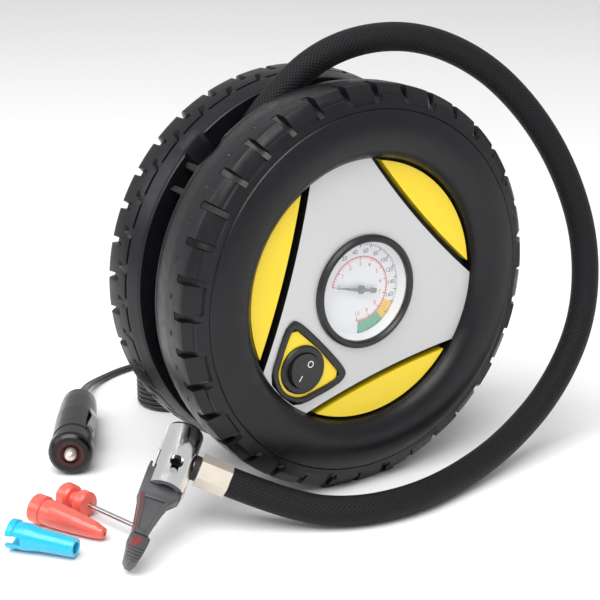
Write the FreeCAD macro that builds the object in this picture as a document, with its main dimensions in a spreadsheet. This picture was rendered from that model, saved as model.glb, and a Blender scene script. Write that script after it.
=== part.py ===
import FreeCAD, Part
import math
import os

import Sketcher
from FreeCAD import Placement, Rotation, Vector

# Portable tire inflator in the shape of a small road wheel.
# Row frame: origin on the floor under the wheel, +Z up, the gauge face looks to -Y.
# Wheel pieces are drawn about the wheel's axis: x to the right, y behind the face plane, z above the axis.

SIZES = {
    "tyre_radius": 92.0,
    "face_y": -20.0,
    "face_radius": 60.0,
    "moulding_radius": 81.5,
    "wall": 2.5,
    "front_edge_radius": 88.3,
    "front_edge_y": 30.6,
    "rear_edge_y": 44.9,
    "rear_lug_y": 67.7,
    "rear_wall_y": 72.5,
    "drum_radius": 64.0,
    "lug_cut_depth": 2.6,
    "front_lug_pairs": 18,
    "rear_blocks": 36,
    "foot_half": 20.0,
    "spoke_arc_radius": 385.0,
    "spoke_waist": 40.5,
    "spoke_angle": 43.0,
    "insert_gap": 3.6,
    "insert_radius": 58.6,
    "gauge_radius": 25.9,
    "gauge_inner": 22.7,
    "dial_y": 4.6,
    "dial_radius": 21.4,
    "switch_angle": 222.0,
    "switch_reach": 44.8,
    "switch_ring": 11.4,
    "rocker_radius": 7.8,
    "motor_radius": 14.0,
    "motor_length": 34.0,
    "motor_z": -24.0,
    "works_y": 38.0,
    "gear_pitch": 13.5,
    "pinion_pitch": 3.0,
    "crank_throw": 6.0,
    "bore_radius": 9.0,
    "cylinder_x": 3.0,
    "cup_radius": 47.0,
    "cup_floor_y": 54.0,
    "lid_radius": 48.5,
    "lid_hinge_z": -53.0,
    "lid_hinge_y": 75.6,
    "hose_radius": 6.5,
    "chuck_radius": 8.3,
    "chuck_top": 15.2,
    "chuck_bottom": -16.3,
    "lever_pin_y": -10.0,
    "lever_pin_radius": 1.6,
    "nut_flats": 12.6,
    "nut_length": 14.0,
    "plug_radius": 10.45,
    "plug_length": 68.0,
    "plug_tip_radius": 2.8,
    "cord_width": 4.4,
    "cord_height": 2.4,
    "hank_length": 112.0,
    "hank_width": 40.0,
    "hank_height": 16.0,
    "running_gap": 0.05,
}


class Size(float):
    """A number that keeps the sheet formula it comes from."""

    def __new__(cls, value, text):
        size = float.__new__(cls, value)
        size.text = text
        return size

    def __add__(self, other):
        return Size(float(self) + float(other), "(%s + %s)" % (self.text, words(other)))

    def __radd__(self, other):
        return Size(float(other) + float(self), "(%s + %s)" % (words(other), self.text))

    def __sub__(self, other):
        return Size(float(self) - float(other), "(%s - %s)" % (self.text, words(other)))

    def __rsub__(self, other):
        return Size(float(other) - float(self), "(%s - %s)" % (words(other), self.text))

    def __mul__(self, other):
        return Size(float(self) * float(other), "(%s * %s)" % (self.text, words(other)))

    def __rmul__(self, other):
        return Size(float(other) * float(self), "(%s * %s)" % (words(other), self.text))

    def __truediv__(self, other):
        return Size(float(self) / float(other), "(%s / %s)" % (self.text, words(other)))

    def __neg__(self):
        return Size(-float(self), "(0 - %s)" % self.text)


def words(value):
    """The formula of a size, or a plain number written out."""
    return getattr(value, "text", "(%.6f)" % float(value))


document = FreeCAD.newDocument("tire_inflator")
sheet = document.addObject("Spreadsheet::Sheet", "Sizes")
for row, (alias, number) in enumerate(SIZES.items(), start=1):
    sheet.set("A%d" % row, alias)
    sheet.set("B%d" % row, "%g" % number)
    sheet.setAlias("B%d" % row, alias)
document.recompute()


class Sheet:
    """The driving sizes, each one carrying its cell's name."""


S = Sheet()
for alias in SIZES:
    setattr(S, alias, Size(sheet.get(alias), "Sizes." + alias))

nodes = {}
WHEEL = (0.0, S.face_y, S.tyre_radius)


# ---------------------------------------------------------------- helpers


def bind(thing, slot, value):
    thing.setExpression(slot, words(value))


def move(thing, x=0.0, y=0.0, z=0.0, turn=None, base=WHEEL):
    """Seat an object at a point of the wheel's own frame."""
    if turn is not None:
        thing.Placement = Placement(Vector(), turn)
    bind(thing, "Placement.Base.x", base[0] + x)
    bind(thing, "Placement.Base.y", base[1] + y)
    bind(thing, "Placement.Base.z", base[2] + z)


def keep(thing, node):
    """Register a finished object as one sub-part of the inflator."""
    thing.Label = node
    nodes[node] = thing
    return thing


def origin_feature(body, role):
    return [item for item in body.Origin.OriginFeatures if item.Role == role][0]


def new_sketch(body, plane, offset=0.0):
    sketch = body.newObject("Sketcher::SketchObject", body.Name + "_sketch")
    sketch.AttachmentSupport = [(origin_feature(body, plane), "")]
    sketch.MapMode = "FlatFace"
    bind(sketch, "AttachmentOffset.Base.z", offset)
    return sketch


def pin_point(sketch, line, end, place):
    """Hold one end of a line at a point whose coordinates follow the sheet."""
    for kind, value in (("DistanceX", place[0]), ("DistanceY", place[1])):
        if isinstance(value, Size) and abs(value) > 1e-6:
            number = sketch.addConstraint(Sketcher.Constraint(kind, line, end, float(value)))
            sketch.setExpression("Constraints[%d]" % number, value.text)


def draw_outline(sketch, points):
    """A closed outline of straight lines through the points."""
    first = sketch.GeometryCount
    count = len(points)
    for index in range(count):
        start = Vector(float(points[index][0]), float(points[index][1]), 0)
        after = points[(index + 1) % count]
        sketch.addGeometry(Part.LineSegment(start, Vector(float(after[0]), float(after[1]), 0)))
    for index in range(count):
        follower = first + (index + 1) % count
        sketch.addConstraint(Sketcher.Constraint("Coincident", first + index, 2, follower, 1))
        pin_point(sketch, first + index, 1, points[index])


def draw_circle(sketch, centre, radius):
    middle = Vector(float(centre[0]), float(centre[1]), 0)
    number = sketch.addGeometry(Part.Circle(middle, Vector(0, 0, 1), float(radius)))
    pin_point(sketch, number, 3, centre)
    if isinstance(radius, Size):
        place = sketch.addConstraint(Sketcher.Constraint("Radius", number, float(radius)))
        sketch.setExpression("Constraints[%d]" % place, radius.text)


def new_body(name):
    return document.addObject("PartDesign::Body", name)


def revolve(body, profile):
    """Turn a (radius, y) profile about the body's own Y axis."""
    sketch = new_sketch(body, "XY_Plane")
    draw_outline(sketch, profile)
    turned = body.newObject("PartDesign::Revolution", body.Name + "_turned")
    turned.Profile = sketch
    turned.ReferenceAxis = (sketch, ["V_Axis"])
    turned.Angle = 360
    return turned


def pad(body, back, thick, outlines=(), circles=(), plane="XZ_Plane"):
    """Pad outlines from y = back by thick towards the front."""
    sketch = new_sketch(body, plane, -1.0 * back if plane == "XZ_Plane" else back)
    for outline in outlines:
        draw_outline(sketch, outline)
    for centre, radius in circles:
        draw_circle(sketch, centre, radius)
    feature = body.newObject("PartDesign::Pad", body.Name + "_pad")
    feature.Profile = sketch
    bind(feature, "Length", thick)
    return feature


def pocket(body, outlines=(), circles=(), front=None, depth=None, plane="XZ_Plane"):
    """Cut outlines through the whole body, or from y = front backwards by depth."""
    document.recompute()
    before = body.Shape.Volume
    offset = 0.0 if front is None else (-1.0 * front if plane == "XZ_Plane" else front)
    sketch = new_sketch(body, plane, offset)
    for outline in outlines:
        draw_outline(sketch, outline)
    for centre, radius in circles:
        draw_circle(sketch, centre, radius)
    feature = body.newObject("PartDesign::Pocket", body.Name + "_pocket")
    feature.Profile = sketch
    if depth is None:
        feature.Type = "ThroughAll"
        feature.Midplane = True
    else:
        bind(feature, "Length", depth)
    document.recompute()
    if body.Shape.Volume >= before - 1e-3:
        raise RuntimeError("a pocket in %s cuts nothing" % body.Name)
    return feature


def around(body, features, count):
    """Repeat features round the body's Y axis."""
    pattern = body.newObject("PartDesign::PolarPattern", body.Name + "_round")
    pattern.Originals = features
    pattern.Axis = (origin_feature(body, "Y_Axis"), [""])
    pattern.Angle = 360
    bind(pattern, "Occurrences", count)
    body.Tip = pattern
    document.recompute()
    return pattern


def rod(name, radius, length, x, y, z, axis):
    """A plain cylinder starting at a point of the wheel's frame and running along X, Y or Z."""
    turns = {
        "x": Rotation(Vector(0, 1, 0), 90),
        "y": Rotation(Vector(1, 0, 0), -90),
        "z": Rotation(),
    }
    item = document.addObject("Part::Cylinder", name)
    bind(item, "Radius", radius)
    bind(item, "Height", length)
    move(item, x, y, z, turns[axis])
    return item


def block(name, low, high):
    """A box between two corners given in the wheel's frame."""
    item = document.addObject("Part::Box", name)
    bind(item, "Length", high[0] - low[0])
    bind(item, "Width", high[1] - low[1])
    bind(item, "Height", high[2] - low[2])
    move(item, *low)
    return item


def cut(name, base, tool):
    item = document.addObject("Part::Cut", name)
    item.Base = base
    item.Tool = tool
    return item


def fuse(name, pieces):
    item = document.addObject("Part::MultiFuse", name)
    item.Shapes = pieces
    return item


def common(name, pieces):
    item = document.addObject("Part::MultiCommon", name)
    item.Shapes = pieces
    return item


def feature(name, shape, place=None):
    """An object whose shape is made by Part's own functions."""
    item = document.addObject("Part::Feature", name)
    item.Shape = shape
    if place is not None:
        item.Placement = place
    return item


def polar(radius, degrees):
    angle = math.radians(float(degrees))
    return radius * math.cos(angle), radius * math.sin(angle)


def frame_at(base, along, side):
    """A placement whose local Y runs along one direction and local X along another."""
    y_axis = Vector(*along).normalize()
    x_axis = Vector(*side)
    x_axis = (x_axis - y_axis * x_axis.dot(y_axis)).normalize()
    return Placement(Vector(*base), Rotation(x_axis, y_axis, x_axis.cross(y_axis), "XYZ"))


def rounded_run(points):
    """Straight runs joined by tangent arcs; gives the wire and its arc radii."""
    edges = []
    radii = []
    start = points[0]
    for index in range(1, len(points) - 1):
        back = (points[index - 1] - points[index])
        ahead = (points[index + 1] - points[index])
        shorter = min(back.Length, ahead.Length)
        back.normalize()
        ahead.normalize()
        turn = math.pi - back.getAngle(ahead)
        reach = 0.45 * shorter
        radii.append(reach / math.tan(turn / 2))
        first = points[index] + back * reach
        last = points[index] + ahead * reach
        bisector = (back + ahead).normalize()
        corner = radii[-1] / math.cos(turn / 2) - radii[-1]
        edges.append(Part.makeLine(start, first))
        edges.append(Part.Arc(first, points[index] + bisector * corner, last).toShape())
        start = last
    edges.append(Part.makeLine(start, points[-1]))
    return Part.Wire(edges), radii


def tube_along(name, points, section, area):
    """Sweep a closed section wire along rounded runs and report how true the volume is."""
    wire, radii = rounded_run([Vector(*place) for place in points])
    solid = wire.makePipeShell([section], True, False, 2)
    share = solid.Volume / (area * wire.Length)
    print("%s: length %.1f mm, smallest bend %.1f mm, volume share %.3f"
          % (name, wire.Length, min(radii), share))
    return solid


# ---------------------------------------------------------------- wheel shells

wall = S.wall
channel_lip = S.front_edge_radius
front = new_body("front_tyre_shell")
revolve(front, [
    (S.face_radius, 0.0),
    (S.face_radius + 1.5, -3.0),
    (S.face_radius + 5.0, -5.8),
    (S.face_radius + 11.0, -7.0),
    (S.face_radius + 17.0, -6.4),
    (S.moulding_radius, -4.9),
    (S.moulding_radius + 0.5, -4.3),
    (S.tyre_radius - 4.0, -2.6),
    (S.tyre_radius - 0.6, 0.6),
    (S.tyre_radius, 4.0),
    (S.tyre_radius - 0.6, 18.0),
    (channel_lip, S.front_edge_y),
    (S.drum_radius - wall, S.front_edge_y),
    (S.drum_radius - wall, S.front_edge_y - wall),
    (channel_lip - 5.0, S.front_edge_y - wall),
    (S.tyre_radius - 5.0, 17.0),
    (S.tyre_radius - 5.0, 4.0),
    (S.tyre_radius - 8.0, 0.4),
    (S.moulding_radius - 3.0, -2.6),
    (S.face_radius + 11.0, -4.2),
    (S.face_radius + 6.0, -3.0),
    (S.face_radius + wall, 0.6),
    (S.face_radius + wall, 9.0),
    (S.face_radius, 9.0),
])
cut_top = S.tyre_radius - S.lug_cut_depth


def tread_cut(half_width, bearing):
    """The outline of one cut through the tread, at a bearing about the wheel's axis."""
    turn = math.radians(90.0 - bearing)
    outline = []
    for across, reach in ((-half_width, cut_top), (half_width, cut_top),
                          (half_width + 0.4, S.tyre_radius + 3.0), (-half_width - 0.4, S.tyre_radius + 3.0)):
        outline.append((across * math.cos(turn) + reach * math.sin(turn),
                        -across * math.sin(turn) + reach * math.cos(turn)))
    return outline


lug_pitch = 180.0 / SIZES["front_lug_pairs"]
short_cut = pocket(front, front=-8.0, depth=14.0, outlines=[tread_cut(1.7, 87.4)])
long_cut = pocket(front, front=-8.0, depth=16.0, outlines=[tread_cut(1.7, 87.4 - lug_pitch)])
around(front, [short_cut, long_cut], S.front_lug_pairs)
foot = [
    (-S.foot_half, -S.tyre_radius),
    (S.foot_half, -S.tyre_radius),
    (S.foot_half, 4.2 - S.tyre_radius),
    (0.0, 2.2 - S.tyre_radius),
    (-S.foot_half, 4.2 - S.tyre_radius),
]
pad(front, 20.0, 17.0, outlines=[foot])
move(front)
keep(front, "front_tyre_shell")

rear = new_body("rear_tyre_shell")
revolve(rear, [
    (S.drum_radius - wall, S.rear_edge_y),
    (channel_lip, S.rear_edge_y),
    (S.tyre_radius - 0.6, 56.0),
    (S.tyre_radius, 62.0),
    (S.tyre_radius, S.rear_lug_y),
    (S.tyre_radius - 4.0, 71.4),
    (S.tyre_radius - 12.0, 74.6),
    (S.tyre_radius - 22.0, 75.4),
    (S.face_radius + 1.0, S.rear_wall_y),
    (S.lid_radius + 2.0, S.rear_wall_y),
    (S.cup_radius, S.rear_wall_y - 1.0),
    (S.cup_radius, S.rear_wall_y - 3.5),
    (S.face_radius + 1.0, S.rear_wall_y - wall),
    (S.tyre_radius - 22.0, 72.6),
    (S.tyre_radius - 12.0, 71.8),
    (S.tyre_radius - 6.5, 68.6),
    (S.tyre_radius - 5.0, 62.0),
    (channel_lip - 4.0, S.rear_edge_y + wall),
    (S.drum_radius - wall, S.rear_edge_y + wall),
])
block_cut = pocket(rear, front=59.0, depth=20.0, outlines=[tread_cut(1.5, 95.6)])
around(rear, [block_cut], S.rear_blocks)
pad(rear, 67.7, 17.0, outlines=[foot])
cord_x, cord_z = polar(66.0, -50.0)
pocket(rear, circles=[((cord_x, cord_z), 3.6)], front=60.0, depth=30.0)
move(rear)
keep(rear, "rear_tyre_shell")

drum = new_body("hose_drum")
revolve(drum, [
    (S.drum_radius - wall, S.front_edge_y),
    (S.drum_radius, S.front_edge_y),
    (S.drum_radius, S.rear_edge_y),
    (S.drum_radius - wall, S.rear_edge_y),
])
stem_angle = 126.7
move(drum)
document.recompute()
stem_x, stem_z = polar(57.0, stem_angle)
stem_turn = Rotation(Vector(0, 0, 1), Vector(stem_x, 0, stem_z))
stem_hole = document.addObject("Part::Cylinder", "stem_hole")
stem_hole.Radius = 3.05
stem_hole.Height = 12
move(stem_hole, stem_x, 37.75, stem_z, stem_turn)
keep(cut("hose_drum_drilled", drum, stem_hole), "hose_drum")

# the clip that parks the chuck in the channel
clip = new_body("chuck_clip")
post_in, post_out = 64.0, 86.0
clip_points = []
for radius, side in ((post_in, -3), (74, -3), (76, -7), (post_out, -7), (post_out - 1, -4.5), (78, -4),
                     (77, 0), (78, 4), (post_out - 1, 4.5), (post_out, 7), (76, 7), (74, 3), (post_in, 3)):
    bearing = math.radians(142.0)
    reach = math.sqrt(radius * radius - side * side) if radius == post_in else radius
    clip_points.append((reach * math.cos(bearing) - side * math.sin(bearing),
                        reach * math.sin(bearing) + side * math.cos(bearing)))
pad(clip, 44.4, 13.3, outlines=[clip_points])
move(clip)
keep(clip, "chuck_clip")

# ---------------------------------------------------------------- face

base = new_body("face_base")
pad(base, 8.0, 2.4, circles=[((0.0, 0.0), S.face_radius)])
switch_x, switch_z = polar(S.switch_reach, SIZES["switch_angle"])
pocket(base, circles=[((0.0, 0.0), 24.1), ((switch_x, switch_z), 10.1)])
move(base)
keep(base, "face_base")


def in_switch_frame(points):
    """Points given along and across the switch's own radius, turned into the face."""
    bearing = math.radians(222.5)
    along = (math.cos(bearing), math.sin(bearing))
    across = (math.sin(bearing), -math.cos(bearing))
    return [(a * along[0] + b * across[0], a * along[1] + b * across[1]) for a, b in points]


FRAME_OUTER = [
    (31.0, -17.0), (30.0, 0.0), (31.0, 17.0), (33.0, 20.0), (37.0, 21.0), (41.0, 19.5),
    (56.0, 11.5), (59.0, 8.0), (59.7, 0.0), (59.0, -8.0), (56.0, -11.5), (41.0, -19.5),
    (37.0, -21.0), (33.0, -20.0),
]
FRAME_INNER = [
    (34.0, -15.5), (33.0, 0.0), (34.0, 15.5), (36.5, 17.6), (40.0, 16.6),
    (54.5, 9.0), (57.0, 5.0), (57.5, 0.0), (57.0, -5.0), (54.5, -9.0), (40.0, -16.6),
    (36.5, -17.6),
]

silver = new_body("silver_face_plate")
pad(silver, 5.6, 5.1, circles=[((0.0, 0.0), S.face_radius - 0.2)])
bite_reach = S.spoke_waist + S.spoke_arc_radius
bite_x, bite_z = polar(bite_reach, SIZES["spoke_angle"])
bite = pocket(silver, circles=[((bite_x, bite_z), S.spoke_arc_radius)])
around(silver, [bite], 3)
pocket(silver, circles=[((0.0, 0.0), S.gauge_inner + 1.4)])
pocket(silver, outlines=[in_switch_frame(FRAME_OUTER)])
move(silver)
keep(silver, "silver_face_plate")

for number in range(3):
    bearing = SIZES["spoke_angle"] + 120.0 * number
    inner_reach = S.spoke_waist + S.insert_gap + S.spoke_arc_radius
    centre_x, centre_z = polar(inner_reach, bearing)
    rim = rod("insert_rim_%d" % number, S.insert_radius, 4.6, 0.0, 1.0, 0.0, "y")
    lens = rod("insert_edge_%d" % number, S.spoke_arc_radius, 4.6, centre_x, 1.0, centre_z, "y")
    insert = common("insert_common_%d" % number, [rim, lens])
    frame_points = in_switch_frame([(a + (2.0 if a > 45 else -0.8), b * 1.05) for a, b in FRAME_OUTER])
    clear = new_body("insert_clear_%d" % number)
    pad(clear, 9.0, 12.0, outlines=[frame_points])
    move(clear)
    keep(cut("insert_%d" % number, insert, clear), "yellow_insert_%d" % (number + 1))

frame = new_body("switch_frame")
pad(frame, 5.6, 6.4, outlines=[in_switch_frame(FRAME_OUTER), in_switch_frame(FRAME_INNER)])
pad(frame, 5.6, 1.6, outlines=[in_switch_frame(FRAME_OUTER)],
    circles=[((switch_x, switch_z), 10.1)])
move(frame)
keep(frame, "switch_frame")

plate = new_body("switch_plate")
plate_points = [(a + (0.2 if a < 40 else -0.2), b * 0.985) for a, b in FRAME_INNER]
pad(plate, 4.0, 3.6, outlines=[in_switch_frame(plate_points)],
    circles=[((switch_x, switch_z), S.switch_ring - 0.2)])
move(plate)
keep(plate, "switch_plate")

ring = new_body("switch_housing")
revolve(ring, [
    (S.rocker_radius + 0.5, -1.0),
    (S.switch_ring - 0.9, -1.0),
    (S.switch_ring - 0.3, -0.4),
    (S.switch_ring - 0.3, 3.8),
    (10.0, 3.8),
    (10.0, 18.0),
    (0.0, 18.0),
    (0.0, 16.0),
    (S.rocker_radius + 0.5, 16.0),
])
move(ring, switch_x, 0.0, switch_z)
keep(ring, "switch_housing")

# the rocker turns on a line across the switch's own radius
rocker = new_body("switch_rocker")
pad(rocker, 2.6, 5.2, plane="XZ_Plane", circles=[((0.0, 0.0), S.rocker_radius)])
ROCKER_TOP = [(-9.5, -8.0), (9.5, -8.0), (9.5, -2.6), (0.0, 0.0), (-9.5, 0.0)]
pocket(rocker, front=12.0, depth=24.0, outlines=[ROCKER_TOP], plane="XY_Plane")
rocker_turn = Rotation(Vector(0, 1, 0), -SIZES["switch_angle"])
move(rocker, switch_x, -2.0, switch_z, rocker_turn)
keep(rocker, "switch_rocker")

tabs = []
for number, side in enumerate((-5.0, 0.0, 5.0)):
    tabs.append(block("tab_%d" % number, (switch_x - 3.0, 18.0, switch_z + side - 0.4),
                      (switch_x + 3.0, 21.5, switch_z + side + 0.4)))
keep(document.addObject("Part::Compound", "tabs"), "switch_terminals").Links = tabs

bezel = new_body("gauge_bezel")
revolve(bezel, [
    (S.gauge_inner, -1.2),
    (S.gauge_inner + 0.8, -2.2),
    (S.gauge_radius - 1.0, -2.0),
    (S.gauge_radius, -1.0),
    (S.gauge_radius, 0.5),
    (S.gauge_inner, 0.5),
])
move(bezel)
keep(bezel, "gauge_bezel")

rim = new_body("gauge_rim")
revolve(rim, [
    (S.gauge_inner, 0.5),
    (S.gauge_inner + 1.3, 0.5),
    (S.gauge_inner + 1.3, S.dial_y),
    (S.dial_radius - 0.6, S.dial_y),
])
move(rim)
keep(rim, "gauge_rim")

lens = new_body("gauge_lens")
revolve(lens, [
    (0.0, -1.4),
    (12.0, -1.2),
    (S.gauge_inner - 0.1, -0.4),
    (S.gauge_inner - 0.1, 0.5),
    (0.0, 0.1),
])
move(lens)
keep(lens, "gauge_lens")

dial = new_body("gauge_dial")
revolve(dial, [
    (1.3, S.dial_y),
    (S.gauge_inner + 1.3, S.dial_y),
    (S.gauge_inner + 1.3, S.dial_y + 0.8),
    (1.3, S.dial_y + 0.8),
])
move(dial)
keep(dial, "gauge_dial")

case = new_body("gauge_case")
revolve(case, [
    (S.gauge_inner + 1.3, S.dial_y + 0.8),
    (S.gauge_inner + 1.3, 19.0),
    (0.0, 19.0),
    (0.0, 17.0),
    (S.gauge_inner - 0.2, 17.0),
    (S.gauge_inner - 0.2, S.dial_y + 0.8),
])
move(case)
keep(case, "gauge_case")

needle = new_body("gauge_needle")
pad(needle, 3.4, 0.6, outlines=[[(-16.6, -0.15), (-16.6, 0.15), (-2.0, 0.9), (2.0, 0.9), (6.0, 0.6),
                                (9.2, 1.3), (9.2, -1.3), (6.0, -0.6), (2.0, -0.9), (-2.0, -0.9)]])
pad(needle, 3.8, 1.6, circles=[((0.0, 0.0), 2.4)])
pad(needle, 12.0, 9.6, circles=[((0.0, 0.0), 1.0)])
move(needle)
keep(needle, "gauge_needle")

# the bent pressure tube behind the dial
coil_path = Part.Arc(Vector(13, 11, 0), Vector(0, 11, 13), Vector(-9.2, 11, -9.2)).toShape()
coil_section = Part.Wire(Part.makeCircle(1.8, Vector(13, 11, 0), Vector(0, 0, 1)))
coil_tube = Part.Wire(coil_path).makePipeShell([coil_section], True, False)
keep(feature("pressure_coil", coil_tube, Placement(Vector(*[float(v) for v in WHEEL]), Rotation())),
     "gauge_pressure_coil")

# ---------------------------------------------------------------- compressor

motor_end = -12.0
can_outer = rod("can_outer", S.motor_radius, S.motor_length, motor_end - S.motor_length,
                S.works_y, S.motor_z, "x")
can_bore = rod("can_bore", S.motor_radius - 1.2, S.motor_length - 3.0,
               motor_end - S.motor_length + 1.5, S.works_y, S.motor_z, "x")
shaft_bore = rod("shaft_bore", 1.55, 20.0, motor_end - 10.0, S.works_y, S.motor_z, "x")
can_voids = fuse("can_voids", [can_bore, shaft_bore])
keep(cut("motor_can_cut", can_outer, can_voids), "motor_can")

core = rod("rotor_core", 9.0, 20.0, motor_end - 28.0, S.works_y, S.motor_z, "x")
shaft = rod("rotor_shaft", 1.5, 39.0, motor_end - 29.5, S.works_y, S.motor_z, "x")
keep(fuse("rotor_fused", [core, shaft]), "motor_rotor")


def toothed(name, teeth, pitch, thick, bore, start_angle):
    """A spur gear in the YZ plane of its own body, tooth flanks drawn as straight sides."""
    module = 2.0 * pitch / teeth
    gear = new_body(name)
    outline = []
    for tooth in range(teeth):
        for share, reach in ((-0.40, -1.15), (-0.22, -0.35), (-0.10, 0.85), (0.10, 0.85), (0.22, -0.35),
                             (0.40, -1.15)):
            bearing = math.radians(start_angle + 360.0 * (tooth + share) / teeth)
            radius = pitch + reach * module * 0.9
            outline.append((radius * math.cos(bearing), radius * math.sin(bearing)))
    sketch = new_sketch(gear, "YZ_Plane")
    draw_outline(sketch, outline)
    draw_circle(sketch, (0.0, 0.0), bore)
    solid = gear.newObject("PartDesign::Pad", name + "_pad")
    solid.Profile = sketch
    bind(solid, "Length", thick)
    return gear


pinion = toothed("motor_pinion", 8, SIZES["pinion_pitch"], 5.0, 1.5, 90.0)
move(pinion, -8.0, S.works_y, S.motor_z)
keep(pinion, "motor_pinion")

gear_z = S.motor_z + S.gear_pitch + S.pinion_pitch
gear = toothed("drive_gear", 36, SIZES["gear_pitch"], 5.0, 2.05, 275.0)
crank = gear.newObject("Sketcher::SketchObject", "crank_sketch")
crank.AttachmentSupport = [(origin_feature(gear, "YZ_Plane"), "")]
crank.MapMode = "FlatFace"
crank.AttachmentOffset = Placement(Vector(0, 0, 4.0), Rotation())
draw_circle(crank, (S.crank_throw, 0.0), 1.6)
crank_pad = gear.newObject("PartDesign::Pad", "crank_pad")
crank_pad.Profile = crank
crank_pad.Length = 4.6
move(gear, -8.0, S.works_y, gear_z)
keep(gear, "drive_gear")

axle = rod("gear_axle_rod", 2.0, 9.5, -12.0, S.works_y, gear_z, "x")
keep(axle, "gear_axle")

bracket = new_body("works_bracket")
pad(bracket, -12.0, 2.5, plane="YZ_Plane", outlines=[[
    (25.0, -38.0), (51.0, -38.0), (51.0, 22.0), (25.0, 22.0)]])
pad(bracket, 19.5, 2.5, plane="XY_Plane", outlines=[[(-12.0, 25.0), (17.0, 25.0), (17.0, 51.0), (-12.0, 51.0)]])
pocket(bracket, plane="YZ_Plane", front=-6.0, depth=8.0, circles=[
    ((S.works_y, S.motor_z), 3.2), ((S.works_y, gear_z), 2.0)])
pocket(bracket, plane="XY_Plane", front=24.0, depth=6.0, circles=[((S.cylinder_x, S.works_y), S.bore_radius)])
move(bracket)
keep(bracket, "works_bracket")

barrel = rod("barrel", S.bore_radius + 2.0, 24.0, S.cylinder_x, S.works_y, 22.0, "z")
barrel_bore = rod("barrel_bore", S.bore_radius, 30.0, S.cylinder_x, S.works_y, 20.0, "z")
keep(cut("barrel_cut", barrel, barrel_bore), "pump_cylinder")

head = rod("head_disc", S.bore_radius + 3.0, 6.0, S.cylinder_x, S.works_y, 46.0, "z")
head_room = rod("head_room", 5.0, 3.0, S.cylinder_x, S.works_y, 46.0, "z")
outlet = rod("head_outlet", 1.5, 12.0, S.cylinder_x - 13.0, S.works_y, 49.0, "x")
head_voids = fuse("head_voids", [head_room, outlet])
keep(cut("head_cut", head, head_voids), "cylinder_head")

piston = rod("piston_disc", S.bore_radius - 0.4, 6.0, S.cylinder_x, S.works_y, 31.0, "z")
groove_out = rod("groove_out", S.bore_radius + 1.0, 2.0, S.cylinder_x, S.works_y, 33.0, "z")
groove_in = rod("groove_in", S.bore_radius - 2.0, 2.0, S.cylinder_x, S.works_y, 33.0, "z")
groove = cut("piston_groove", groove_out, groove_in)
link = new_body("piston_link")
pad(link, 1.0, 4.0, plane="YZ_Plane", outlines=[[(S.works_y + 8.6, -9.5), (S.works_y + 9.8, -7.5),
    (S.works_y + 8.6, -4.0), (S.works_y + 2.4, 31.5), (S.works_y - 2.4, 31.5), (S.works_y + 2.6, -5.5),
    (S.works_y + 2.2, -7.5), (S.works_y + 3.4, -9.5)]], circles=[((S.works_y + S.crank_throw, -7.5), 1.7)])
move(link)
piston_solid = cut("piston_cut", piston, groove)
keep(fuse("piston_fused", [piston_solid, link]), "piston_rod")

seal_out = rod("seal_out", S.bore_radius - S.running_gap, 2.0, S.cylinder_x, S.works_y, 33.0, "z")
seal_in = rod("seal_in", S.bore_radius - 2.0, 2.0, S.cylinder_x, S.works_y, 33.0, "z")
keep(cut("seal_cut", seal_out, seal_in), "piston_seal")

air_out = rod("air_out", 2.5, 28.0, S.cylinder_x - S.bore_radius - 3.0 - 28.0, S.works_y, 49.0, "x")
air_in = rod("air_in", 1.5, 30.0, S.cylinder_x - S.bore_radius - 3.0 - 29.0, S.works_y, 49.0, "x")
keep(cut("air_cut", air_out, air_in), "air_tube")

gauge_pipe = rod("gauge_pipe", 2.2, 16.0, 18.0, 19.0, -4.0, "y")
keep(gauge_pipe, "gauge_tube")

# ---------------------------------------------------------------- rear compartment

cup = new_body("cord_compartment")
revolve(cup, [
    (S.cup_radius - 1.8, 69.0),
    (S.cup_radius, 69.0),
    (S.cup_radius, S.cup_floor_y),
    (0.0, S.cup_floor_y),
    (0.0, S.cup_floor_y + 1.8),
    (S.cup_radius - 1.8, S.cup_floor_y + 1.8),
])
move(cup)
keep(cup, "cord_compartment")

lid = new_body("rear_lid")
pad(lid, 75.0, 2.3, circles=[((0.0, 0.0), S.lid_radius)])
pad(lid, 72.7, 1.7, circles=[((0.0, 0.0), S.cup_radius - 0.6), ((0.0, 0.0), S.cup_radius - 2.6)])
pad(lid, 77.4, 4.2, outlines=[[(-9.0, S.lid_hinge_z - 1.8), (9.0, S.lid_hinge_z - 1.8), (9.0, -46.0),
                               (-9.0, -46.0)]])
pocket(lid, plane="YZ_Plane", front=10.0, depth=20.0, circles=[((S.lid_hinge_y, S.lid_hinge_z), 1.05)])
move(lid)
keep(lid, "rear_lid")

ears = []
for number, side in enumerate((-13.2, 9.4)):
    ears.append(block("ear_%d" % number, (side, S.rear_wall_y, S.lid_hinge_z - 2.4),
                      (side + 3.8, S.lid_hinge_y + 1.9, S.lid_hinge_z + 2.4)))
pin = rod("hinge_rod", 1.0, 25.0, -12.5, S.lid_hinge_y, S.lid_hinge_z, "x")
keep(fuse("hinge_fused", ears + [pin]), "lid_hinge")

screws = []
for number in range(6):
    screw_x, screw_z = polar(56.0, 60.0 * number)
    screws.append(rod("screw_%d" % number, 2.6, 1.6, screw_x, S.rear_wall_y, screw_z, "y"))
screw_group = document.addObject("Part::Compound", "screw_group")
screw_group.Links = screws
keep(screw_group, "shell_screws")

# ---------------------------------------------------------------- air hose and chuck

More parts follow.
